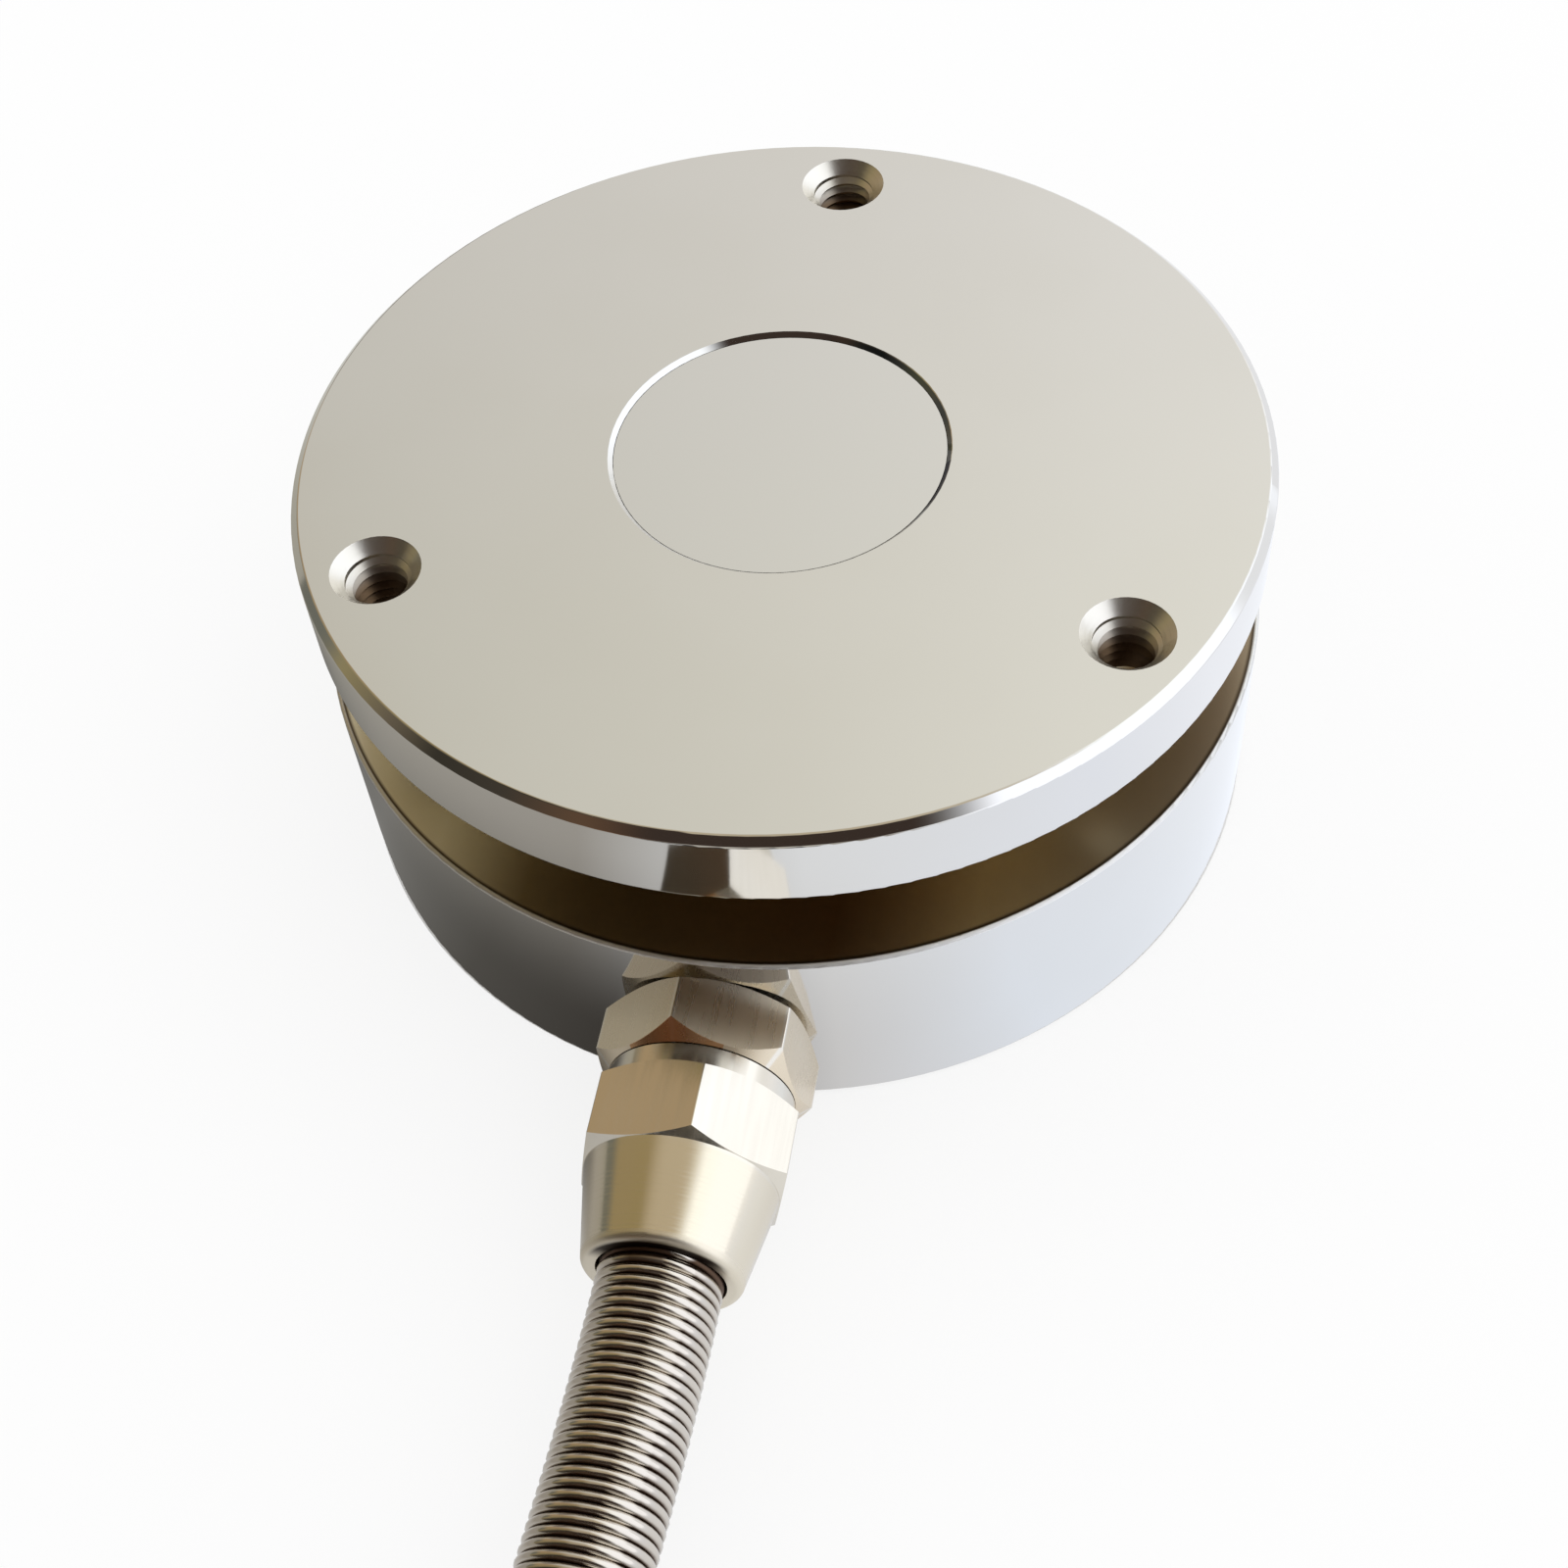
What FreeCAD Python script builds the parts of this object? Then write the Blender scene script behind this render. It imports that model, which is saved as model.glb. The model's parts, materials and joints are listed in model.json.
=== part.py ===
import FreeCAD, Part
import math
import os

from FreeCAD import Vector

# Flange load cell in millimetres: it stands on its base, +Z up, and the cable leaves towards -Y

# Turned body
body_diameter = 60.0
base_height = 14.3
groove_height = 6.7
flange_thickness = 5.3
gauge_bore = 18.5
hub_wall = 3.75
hub_fillet = 0.8
top_edge_chamfer = 0.5
bottom_edge_chamfer = 0.5
chamfer_easing = 0.15
groove_edge_radius = 0.2

# Tapped mounting holes: through the flange, and blind in the base on a smaller circle
bolt_count = 3
bolt_first_angle = 90.0
bolt_thread = 4.0
bolt_edge_distance = 4.5
bolt_countersink = 5.5
base_bolt_edge_distance = 5.5
base_bolt_countersink = 4.8
base_bolt_depth = 8.0
countersink_angle = 90.0
drill_point_angle = 118.0

# Disc in the flange, set down to the foot of the seam's chamfer
cover_disc_seat = 1.0
cover_disc_thickness = 1.8
cover_disc_fit = 0.04
seam_chamfer = 0.28

# Wiring space in the base and its cover
cavity_roof = 3.3
cover_rim_wall = 0.9
cover_ledge = 4.7
cover_seat_depth = 2.0
cover_thickness = 1.7
cover_fit = 0.05
cover_screw_count = 4
cover_screw_thread = 2.0
cover_screw_length = 6.5
cover_screw_head = 3.8
cover_screw_clearance = 2.4
cover_screw_sink = 0.1
screw_slot_length = 2.2
screw_slot_width = 0.5
screw_slot_depth = 0.5
screw_hole_spare = 1.25
thread_fit = 0.03

# Strain gauges on the hub's inner wall
gauge_count = 4
gauge_first_angle = 45.0
gauge_width = 4.5
gauge_height = 4.6
gauge_thickness = 0.12
gauge_lead_diameter = 0.4
gauge_lead_spacing = 1.6
gauge_lead_overlap = 0.8
solder_gap = 0.02

# Wiring board under the hub
board_thickness = 1.0
board_fit = 0.2
resistor_count = 2
resistor_length = 3.2
resistor_width = 1.6
resistor_height = 0.7
resistor_spacing = 13.0
resistor_offset = 5.0

# Cable gland
gland_height = base_height / 2
gland_thread = 8.0
gland_shank_length = 9.0
hexagon_across_flats = 11.5
hexagon_face_step = 0.15
hexagon_edge_radius = 0.12
gland_hexagon_length = 4.3
gland_hexagon_turn = -12.0
gland_back_angle = 30.0
gland_front_angle = 45.0
gland_stub_wall = 0.9
gland_stub_length = 5.1
seal_wall = 1.25
seal_seat_depth = 4.2
seal_proud = 0.6
washer_thickness = 0.8
washer_fit = 0.2
nut_gap = 0.1
nut_collar_length = 1.1
nut_hexagon_length = 4.9
nut_hexagon_turn = 10.0
nut_chamfer_angle = 30.0
nose_chamfer_angle = 20.0
nose_root_step = 0.05
nose_length = 5.8
nose_wall = 0.85
nose_end_radius = 0.5
nose_bore_fit = 0.15

# Spring guard, close wound, with two wide end turns held behind the nut's shoulder
spring_wire = 0.635
spring_cable_gap = 0.715
spring_end_turn_fit = 0.1
spring_end_turns = 2
spring_hidden_turns = 6
spring_free_turns = 30

# Cable
cable_diameter = 4.5
cable_hole_fit = 0.15
cable_inner_reach = 1.0
core_diameter = 1.0
core_spacing = 1.5
core_bend = 1.0
core_reach = 2.4

# Share of a run that a bend in a cord may use at each end
bend_share = 0.45

# Coil of the cable that the view does not reach, tied, resting on its tie
coil_centre_x = -0.7
coil_centre_y = -117.6
coil_outer_turn_radius = 33.9
coil_turns_across = 3
coil_layers = 4
coil_top_turns = 2
turn_gap = 0.1
tie_thickness = 0.8
tie_width = 4.0
tie_angle = -60.0

# Bare leads at the end of the cable, lying on the coil's outer step
lead_count = 4
lead_start_angle = 20.0
lead_arc = 75.0
lead_points = 5
lead_gap = 0.02
lead_spacing = 1.1

# Sizes worked out from the ones above
body_radius = body_diameter / 2
hub_radius = gauge_bore / 2 + hub_wall
bolt_radius = body_radius - bolt_edge_distance
base_bolt_radius = body_radius - base_bolt_edge_distance
cover_radius = base_bolt_radius - base_bolt_countersink / 2 - cover_rim_wall
cavity_radius = cover_radius - cover_ledge
cover_screw_radius = cover_radius - cover_ledge / 2
cover_disc_radius = gauge_bore / 2 + cover_disc_seat
groove_top = base_height + groove_height
body_height = groove_top + flange_thickness
cover_disc_face = body_height - seam_chamfer
cavity_top = base_height - cavity_roof
board_bottom = cavity_top - board_thickness
cover_bottom = cover_seat_depth - cover_thickness
gauge_middle = base_height + groove_height / 2
cable_radius = cable_diameter / 2
cable_bore = cable_radius + cable_hole_fit
cable_inner_end = cavity_radius - cable_inner_reach
hexagon_corner = hexagon_across_flats / math.sqrt(3)
face_radius = hexagon_across_flats / 2 - hexagon_face_step
seal_radius = cable_radius + seal_wall
gland_stub_radius = seal_radius + gland_stub_wall
spring_inside = cable_radius + spring_cable_gap
spring_radius = spring_inside + spring_wire
nose_bore = spring_radius + nose_bore_fit
nose_tip = nose_bore + nose_wall
gland_back = body_radius
gland_front = gland_back + gland_hexagon_length
gland_stub_end = gland_front + gland_stub_length
seal_seat = gland_stub_end - seal_seat_depth
seal_end = gland_stub_end + seal_proud
washer_end = seal_end + washer_thickness
spring_shoulder = washer_end + spring_end_turns * spring_wire
nut_back = gland_front + nut_gap
nut_collar_end = nut_back + nut_collar_length
nut_hexagon_end = nut_collar_end + nut_hexagon_length
nose_end = nut_hexagon_end + nose_length
spring_hidden_end = spring_shoulder + spring_hidden_turns * spring_wire
turn_pitch = cable_diameter + turn_gap
coil_inner_turn_radius = coil_outer_turn_radius - coil_turns_across * turn_pitch
coil_inner_radius = coil_inner_turn_radius - cable_radius
coil_outer_radius = coil_outer_turn_radius + cable_radius
coil_top_radius = coil_inner_turn_radius + coil_top_turns * turn_pitch + cable_radius
coil_bottom = tie_thickness
coil_step = coil_bottom + (coil_layers - 1) * turn_pitch
coil_top = coil_step + cable_diameter

# Route of the cable from inside the gland down to the coil's outer turn, chosen by hand
cable_route = [
    (0.0, -cable_inner_end, gland_height),
    (0.0, -66.0, gland_height),
    (-2.0, -73.2, 6.1),
    (-5.9, -79.7, 4.2),
    (-11.3, -84.8, 3.05),
    (-18.0, -88.36, 3.05),
]

up = Vector(0, 0, 1)
origin = Vector(0, 0, 0)


def rounded_corner(before, corner, after, radius):
    # Start, middle and end of the arc that rounds a corner
    back = (before - corner).normalize()
    ahead = (after - corner).normalize()
    half_angle = back.getAngle(ahead) / 2
    cut_back = radius / math.tan(half_angle)
    middle = corner + (back + ahead).normalize() * (radius / math.sin(half_angle) - radius)
    return corner + back * cut_back, middle, corner + ahead * cut_back


def turned(outline, angle=360.0):
    # Revolve corners of (radius, height) about Z; a third number is the radius that rounds a corner
    corners = [Vector(step[0], 0, step[1]) for step in outline]
    following = corners[1:] + corners[:1]
    arcs = []
    for i, step in enumerate(outline):
        if len(step) == 3:
            arcs.append(rounded_corner(corners[i - 1], corners[i], following[i], step[2]))
        else:
            arcs.append((corners[i], None, corners[i]))
    edges = []
    for i, (start, middle, end) in enumerate(arcs):
        edges.append(Part.LineSegment(arcs[i - 1][2], start).toShape())
        if middle:
            edges.append(Part.Arc(start, middle, end).toShape())
    return Part.Face(Part.Wire(edges)).revolve(origin, up, angle)


def around(count, radius, first_angle):
    # Places spaced evenly on a circle about Z
    places = []
    for i in range(count):
        angle = math.radians(first_angle + i * 360.0 / count)
        places.append(Vector(radius * math.cos(angle), radius * math.sin(angle), 0))
    return places


def on_gland_axis(shape):
    # Turn a piece built along Z so that it points out of the base at the gland's height
    shape.rotate(origin, Vector(1, 0, 0), 90)
    shape.translate(Vector(0, 0, gland_height))
    return shape


def hexagon_bar(start, end, turn):
    corners = []
    for i in range(7):
        angle = math.radians(turn + 60.0 * i)
        corners.append(Vector(hexagon_corner * math.sin(angle), hexagon_corner * math.cos(angle), start))
    bar = Part.Face(Part.makePolygon(corners)).extrude(Vector(0, 0, end - start))
    long_edges = [edge for edge in bar.Edges if abs(edge.tangentAt(edge.FirstParameter).z) > 0.99]
    return bar.makeFillet(hexagon_edge_radius, long_edges)


def chamfer_length(angle):
    # Length along the axis of a chamfer from the hexagon's corners down to its round face
    return (hexagon_corner - face_radius) * math.tan(math.radians(angle))


def tapped_hole(length, countersink):
    # Straight hole at the thread's full diameter, along +Z from a countersink at z=0
    radius = bolt_thread / 2
    sink = (countersink / 2 - radius) / math.tan(math.radians(countersink_angle / 2))
    return Part.makeCylinder(radius, length).fuse(Part.makeCone(countersink / 2, radius, sink))


def flange_hole(place):
    hole = tapped_hole(flange_thickness, bolt_countersink)
    hole.rotate(origin, Vector(1, 0, 0), 180)
    hole.translate(place + up * body_height)
    return hole


def base_hole(place):
    radius = bolt_thread / 2
    point = radius / math.tan(math.radians(drill_point_angle / 2))
    tip = Part.makeCone(radius, 0, point, up * base_bolt_depth)
    hole = tapped_hole(base_bolt_depth, base_bolt_countersink).fuse(tip)
    hole.translate(place)
    return hole


def tangent_wire(route):
    # Straight runs joined by tangent arcs, each as large as its shorter run allows
    points = [Vector(*point) for point in route]
    edges = []
    radii = []
    start = points[0]
    for before, corner, after in zip(points, points[1:], points[2:]):
        came = (corner - before).normalize()
        goes = (after - corner).normalize()
        half_turn = came.getAngle(goes) / 2
        cut_back = bend_share * min((corner - before).Length, (after - corner).Length)
        radius = cut_back / math.tan(half_turn)
        towards_centre = (goes - came).normalize()
        arc_start = corner - came * cut_back
        arc_middle = corner + towards_centre * (radius / math.cos(half_turn) - radius)
        arc_end = corner + goes * cut_back
        edges.append(Part.LineSegment(start, arc_start).toShape())
        edges.append(Part.Arc(arc_start, arc_middle, arc_end).toShape())
        radii.append(radius)
        start = arc_end
    edges.append(Part.LineSegment(start, points[-1]).toShape())
    return Part.Wire(edges), radii


def tube(route, diameter):
    wire, radii = tangent_wire(route)
    first = Vector(*route[0])
    along = Vector(*route[1]) - first
    section = Part.Face(Part.Wire(Part.makeCircle(diameter / 2, first, along)))
    solid = wire.makePipe(section)
    expected = math.pi * diameter ** 2 / 4 * wire.Length
    return solid, radii, wire.Length, solid.Volume / expected


def elastic_body():
    outline = [
        (cover_radius, 0),
        (body_radius - bottom_edge_chamfer, 0),
        (body_radius, bottom_edge_chamfer),
        (body_radius, base_height, groove_edge_radius),
        (hub_radius, base_height, hub_fillet),
        (hub_radius, groove_top, hub_fillet),
        (body_radius, groove_top, groove_edge_radius),
        (body_radius, body_height - top_edge_chamfer, chamfer_easing),
        (body_radius - top_edge_chamfer, body_height, chamfer_easing),
        (cover_disc_radius + seam_chamfer, body_height),
        (cover_disc_radius, cover_disc_face),
        (cover_disc_radius, cover_disc_face - cover_disc_thickness),
        (gauge_bore / 2, cover_disc_face - cover_disc_thickness),
        (gauge_bore / 2, cavity_top),
        (cavity_radius, cavity_top),
        (cavity_radius, cover_seat_depth),
        (cover_radius, cover_seat_depth),
    ]
    body = turned(outline)
    cuts = [flange_hole(place) for place in around(bolt_count, bolt_radius, bolt_first_angle)]
    cuts += [base_hole(place) for place in around(bolt_count, base_bolt_radius, bolt_first_angle)]
    for place in screw_places():
        depth = cover_screw_length + screw_hole_spare
        cuts.append(Part.makeCylinder(cover_screw_thread / 2, depth, place + Vector(0, 0, cover_bottom)))
    shank_start = Vector(0, 0, body_radius - gland_shank_length)
    shank_hole = Part.makeCylinder(gland_thread / 2, gland_shank_length, shank_start)
    way_in_start = Vector(0, 0, cable_inner_end)
    way_in = Part.makeCylinder(cable_bore, body_radius - cable_inner_end, way_in_start)
    cuts += [on_gland_axis(shank_hole), on_gland_axis(way_in)]
    return body.cut(cuts)


def top_cover_disc():
    bottom = cover_disc_face - cover_disc_thickness
    return Part.makeCylinder(cover_disc_radius - cover_disc_fit, cover_disc_thickness, up * bottom)


def screw_places():
    return around(cover_screw_count, cover_screw_radius, 180.0 / cover_screw_count)


def bottom_cover():
    radius = cover_radius - cover_fit
    plate = Part.makeCylinder(radius, cover_thickness, Vector(0, 0, cover_bottom))
    hole_radius = cover_screw_clearance / 2
    head_radius = cover_screw_head / 2 + cover_screw_sink
    cuts = []
    for place in screw_places():
        foot = place + Vector(0, 0, cover_bottom)
        cuts.append(Part.makeCylinder(hole_radius, cover_thickness, foot))
        cuts.append(Part.makeCone(head_radius, hole_radius, head_radius - hole_radius, foot))
    return plate.cut(cuts)


def cover_screw(place):
    head_radius = cover_screw_head / 2
    shank_radius = cover_screw_thread / 2 - thread_fit
    head_bottom = cover_bottom + cover_screw_sink
    screw = turned([
        (0, head_bottom),
        (head_radius, head_bottom),
        (shank_radius, head_bottom + head_radius - shank_radius),
        (shank_radius, head_bottom + cover_screw_length - shank_radius / 2),
        (shank_radius / 2, head_bottom + cover_screw_length),
        (0, head_bottom + cover_screw_length),
    ])
    for length, width in [(screw_slot_length, screw_slot_width), (screw_slot_width, screw_slot_length)]:
        slot = Part.makeBox(length, width, screw_slot_depth, Vector(-length / 2, -width / 2, head_bottom))
        screw = screw.cut(slot)
    screw.translate(place)
    return screw


def strain_gauge(angle):
    wall = gauge_bore / 2
    span = math.degrees(gauge_width / wall)
    patch = turned([
        (wall - gauge_thickness, gauge_middle - gauge_height / 2),
        (wall, gauge_middle - gauge_height / 2),
        (wall, gauge_middle + gauge_height / 2),
        (wall - gauge_thickness, gauge_middle + gauge_height / 2),
    ], span)
    patch.rotate(origin, up, angle - span / 2)
    return patch


def gauge_leads():
    # Two straight leads from each gauge down to the board
    radius = gauge_bore / 2 - gauge_thickness - solder_gap - gauge_lead_diameter / 2
    half_step = math.degrees(gauge_lead_spacing / 2 / radius)
    top = gauge_middle - gauge_height / 2 + gauge_lead_overlap
    leads = []
    for i in range(gauge_count):
        middle = gauge_first_angle + i * 360.0 / gauge_count
        for angle in (middle - half_step, middle + half_step):
            turn = math.radians(angle)
            foot = Vector(radius * math.cos(turn), radius * math.sin(turn), cavity_top)
            leads.append(Part.makeCylinder(gauge_lead_diameter / 2, top - cavity_top, foot))
    return Part.makeCompound(leads)


def terminal_board():
    return Part.makeCylinder(cavity_radius - board_fit, board_thickness, Vector(0, 0, board_bottom))


def trim_resistor(index):
    middle = (index - (resistor_count - 1) / 2) * resistor_spacing
    corner = Vector(
        middle - resistor_length / 2, resistor_offset - resistor_width / 2, board_bottom - resistor_height
    )
    return Part.makeBox(resistor_length, resistor_width, resistor_height, corner)


def inner_core(index):
    # A cable core from the end of the jacket, bent up to the underside of the board
    side = (index % 2 - 0.5) * core_spacing
    height = gland_height + (index // 2 - 0.5) * core_spacing
    reach = core_reach * (2 - index // 2)
    start = Vector(side, -cable_inner_end, height)
    corner = start + Vector(0, reach + core_bend, 0)
    end = Vector(side, corner.y, board_bottom)
    turn_start, turn_middle, turn_end = rounded_corner(start, corner, end, core_bend)
    path = Part.Wire([
        Part.LineSegment(start, turn_start).toShape(),
        Part.Arc(turn_start, turn_middle, turn_end).toShape(),
        Part.LineSegment(turn_end, end).toShape(),
    ])
    section = Part.Face(Part.Wire(Part.makeCircle(core_diameter / 2, start, Vector(0, 1, 0))))
    return path.makePipe(section)


def gland_body():
    turning = turned([
        (cable_bore, gland_back - gland_shank_length),
        (gland_thread / 2 - thread_fit, gland_back - gland_shank_length),
        (gland_thread / 2 - thread_fit, gland_back),
        (face_radius, gland_back),
        (hexagon_corner, gland_back + chamfer_length(gland_back_angle)),
        (hexagon_corner, gland_front - chamfer_length(gland_front_angle)),
        (face_radius, gland_front),
        (gland_stub_radius, gland_front),
        (gland_stub_radius, gland_stub_end),
        (seal_radius, gland_stub_end),
        (seal_radius, seal_seat),
        (cable_bore, seal_seat),
    ])
    bar = hexagon_bar(gland_back - gland_shank_length, gland_stub_end, gland_hexagon_turn)
    return on_gland_axis(turning.common(bar))


def gland_seal():
    return on_gland_axis(turned([
        (cable_radius, seal_seat),
        (seal_radius, seal_seat),
        (seal_radius, seal_end),
        (cable_radius, seal_end),
    ]))


def gland_washer():
    radius = gland_stub_radius - washer_fit
    return on_gland_axis(turned([
        (cable_bore, seal_end),
        (radius, seal_end),
        (radius, washer_end),
        (cable_bore, washer_end),
    ]))


def gland_nut():
    back_chamfer = chamfer_length(nut_chamfer_angle)
    front_chamfer = chamfer_length(nose_chamfer_angle)
    thread = gland_stub_radius + thread_fit
    nose_root = hexagon_across_flats / 2 - nose_root_step
    turning = turned([
        (thread, nut_back),
        (face_radius, nut_back),
        (face_radius, nut_collar_end),
        (hexagon_corner, nut_collar_end + back_chamfer),
        (hexagon_corner, nut_hexagon_end - front_chamfer),
        (nose_root, nut_hexagon_end),
        (nose_tip, nose_end, nose_end_radius),
        (nose_bore, nose_end),
        (nose_bore, spring_shoulder),
        (thread, spring_shoulder),
    ])
    return on_gland_axis(turning.common(hexagon_bar(nut_back, nose_end, nut_hexagon_turn)))


def strain_relief_spring():
    # Close-wound turns as a ridged sleeve: one ridge for each turn that can be seen
    end_turn = gland_stub_radius - spring_end_turn_fit
    valley = spring_radius - spring_wire / 2
    end = spring_hidden_end + spring_free_turns * spring_wire
    outline = [
        (spring_inside, washer_end),
        (end_turn, washer_end),
        (end_turn, spring_shoulder),
        (spring_radius, spring_shoulder),
        (spring_radius, spring_hidden_end - spring_wire / 2),
        (valley, spring_hidden_end),
    ]
    for i in range(spring_free_turns):
        start = spring_hidden_end + i * spring_wire
        outline.append((spring_radius, start + spring_wire / 2))
        outline.append((valley, start + spring_wire))
    outline.append((spring_inside, end))
    return on_gland_axis(turned(outline))


def cable_coil():
    ring = turned([
        (coil_inner_radius, coil_bottom),
        (coil_outer_radius, coil_bottom),
        (coil_outer_radius, coil_step),
        (coil_top_radius, coil_step),
        (coil_top_radius, coil_top),
        (coil_inner_radius, coil_top),
    ])
    ring.translate(Vector(coil_centre_x, coil_centre_y, 0))
    return ring


def coil_tie():
    # Strap round the stepped bundle
    outside = turned([
        (coil_inner_radius - tie_thickness, coil_bottom - tie_thickness),
        (coil_outer_radius + tie_thickness, coil_bottom - tie_thickness),
        (coil_outer_radius + tie_thickness, coil_step + tie_thickness),
        (coil_top_radius + tie_thickness, coil_step + tie_thickness),
        (coil_top_radius + tie_thickness, coil_top + tie_thickness),
        (coil_inner_radius - tie_thickness, coil_top + tie_thickness),
    ], math.degrees(tie_width / coil_outer_turn_radius))
    outside.rotate(origin, up, tie_angle)
    outside.translate(Vector(coil_centre_x, coil_centre_y, 0))
    return outside


def core_lead(index):
    # A bare lead that comes out of the top turn and lies on the step outside it
    rest_radius = coil_top_radius + lead_gap + core_diameter / 2 + lead_spacing * index
    rest_height = coil_step + lead_gap + core_diameter / 2
    start_radius = coil_top_radius - cable_radius + lead_spacing * (index - (lead_count - 1) / 2)
    start_height = coil_step + cable_radius
    route = []
    for i in range(lead_points):
        share = i / (lead_points - 1)
        settle = min(1.0, share * 2)
        angle = math.radians(lead_start_angle + lead_arc * share)
        radius = start_radius + (rest_radius - start_radius) * settle
        height = start_height + (rest_height - start_height) * settle
        route.append((
            coil_centre_x + radius * math.cos(angle),
            coil_centre_y + radius * math.sin(angle),
            height,
        ))
    return tube(route, core_diameter)


os.makedirs("parts", exist_ok=True)
pieces = {
    "elastic_body": elastic_body(),
    "top_cover_disc": top_cover_disc(),
    "bottom_cover": bottom_cover(),
    "gauge_leads": gauge_leads(),
    "terminal_board": terminal_board(),
    "gland_body": gland_body(),
    "gland_seal": gland_seal(),
    "gland_washer": gland_washer(),
    "gland_nut": gland_nut(),
    "strain_relief_spring": strain_relief_spring(),
}
for i, place in enumerate(screw_places()):
    pieces["cover_screw_%d" % (i + 1)] = cover_screw(place)
for i in range(gauge_count):
    pieces["strain_gauge_%d" % (i + 1)] = strain_gauge(gauge_first_angle + i * 360.0 / gauge_count)
for i in range(resistor_count):
    pieces["trim_resistor_%d" % (i + 1)] = trim_resistor(i)
for i in range(lead_count):
    pieces["inner_core_%d" % (i + 1)] = inner_core(i)

coil = cable_coil()
cable, cable_radii, cable_length, cable_fill = tube(cable_route, cable_diameter)
print("cable radii", [round(r, 1) for r in cable_radii])
print("cable length", round(cable_length, 1), "fill", round(cable_fill, 4))
pieces["cable"] = cable.cut(coil)
pieces["cable_coil"] = coil
pieces["coil_tie"] = coil_tie().cut(coil)
for i in range(lead_count):
    lead, lead_radii, lead_length, lead_fill = core_lead(i)
    print("lead", i + 1, "radii", [round(r, 1) for r in lead_radii], "fill", round(lead_fill, 4))
    pieces["core_lead_%d" % (i + 1)] = lead.cut(coil)

for name, shape in pieces.items():
    shape.exportStep("parts/%s.step" % name)
print(len(pieces), "pieces")
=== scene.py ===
import json
from math import cos, pi, radians, sin, tau

import bmesh
import bpy
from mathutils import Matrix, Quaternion, Vector


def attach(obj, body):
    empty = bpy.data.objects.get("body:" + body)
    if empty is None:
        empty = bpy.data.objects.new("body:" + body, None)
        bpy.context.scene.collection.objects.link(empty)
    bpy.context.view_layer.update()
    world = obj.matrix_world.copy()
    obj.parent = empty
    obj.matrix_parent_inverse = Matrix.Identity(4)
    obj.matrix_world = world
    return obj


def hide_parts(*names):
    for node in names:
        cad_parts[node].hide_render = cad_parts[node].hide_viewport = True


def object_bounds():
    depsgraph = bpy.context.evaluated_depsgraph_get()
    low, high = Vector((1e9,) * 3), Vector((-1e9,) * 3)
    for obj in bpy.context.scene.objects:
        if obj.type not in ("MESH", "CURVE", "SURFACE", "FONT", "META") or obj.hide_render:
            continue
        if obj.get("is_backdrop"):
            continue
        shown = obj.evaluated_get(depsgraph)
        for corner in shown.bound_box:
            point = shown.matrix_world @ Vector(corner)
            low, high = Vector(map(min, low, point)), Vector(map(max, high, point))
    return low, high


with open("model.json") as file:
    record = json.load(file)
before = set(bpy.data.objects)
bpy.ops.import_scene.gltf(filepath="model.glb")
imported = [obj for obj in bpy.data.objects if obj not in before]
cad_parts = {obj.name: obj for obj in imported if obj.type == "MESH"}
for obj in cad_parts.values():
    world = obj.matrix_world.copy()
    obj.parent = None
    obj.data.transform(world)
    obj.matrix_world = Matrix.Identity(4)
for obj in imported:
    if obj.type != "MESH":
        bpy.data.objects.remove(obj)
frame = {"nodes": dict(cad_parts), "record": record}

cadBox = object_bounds()
cadNode = frame["nodes"]
mounts = {mount["name"]: mount for mount in frame["record"]["mounts"]}
scene = bpy.context.scene
metre = 1000  # millimetres
glandHeight = 0.00715  # axis of the gland, the spring guard and the cable's start
firstHole = radians(90)  # azimuth of the tapped hole behind
print("frame:", len(cadNode), "CAD nodes")


def boltSizes(name):
    dims = mounts[name]["dims"]
    return {
        "Holes": dims["count"],
        "First": firstHole,
        "Circle": dims["pcd_mm"] / 2 / metre,
        "Root": dims["hole_r_mm"] / metre,
    }


def show(name, data):
    shown = bpy.data.objects.new(name, data)
    scene.collection.objects.link(shown)
    return shown


# Camera: close, from the right of the front, rolled a little
shot = {
    "eye": (0.0233018, -0.0997076, 0.1237222),
    "aim": (0.000694, -0.009978, 0.005665),
    "roll": -5.71,
    "lens": 52.687,
    "nearest": 0.001,
}


def placeCamera():
    lens = bpy.data.cameras.new("productCamera")
    lens.lens = shot["lens"]
    lens.clip_start = shot["nearest"]
    camera = show("productCamera", lens)
    sight = Vector(shot["aim"]) - Vector(shot["eye"])
    turn = sight.to_track_quat("-Z", "Y") @ Quaternion((0, 0, 1), radians(shot["roll"]))
    camera.location = shot["eye"]
    camera.rotation_euler = turn.to_euler()
    scene.camera = camera
    print("camera right:", [round(v, 4) for v in turn @ Vector((1, 0, 0))])


placeCamera()


# Node helpers: a value that is a socket is linked, any other is set
def node(tree, kind, inputs=None, **settings):
    made = tree.nodes.new(kind)
    for name, value in settings.items():
        setattr(made, name, value)
    for socket, value in (inputs or {}).items():
        if isinstance(value, bpy.types.NodeSocket):
            tree.links.new(value, made.inputs[socket])
        else:
            made.inputs[socket].default_value = value
    return made


def calc(tree, operation, *terms):
    return node(tree, "ShaderNodeMath", dict(enumerate(terms)), operation=operation).outputs[0]


def ease(tree, value, low, high, toLow=0.0, toHigh=1.0):
    limits = {"Value": value, "From Min": low, "From Max": high, "To Min": toLow, "To Max": toHigh}
    return node(tree, "ShaderNodeMapRange", limits, interpolation_type="SMOOTHSTEP").outputs["Result"]


def axes(tree, place):
    return node(tree, "ShaderNodeSeparateXYZ", {0: place}).outputs


def vector(tree, **parts):
    return node(tree, "ShaderNodeCombineXYZ", parts).outputs[0]


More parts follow.
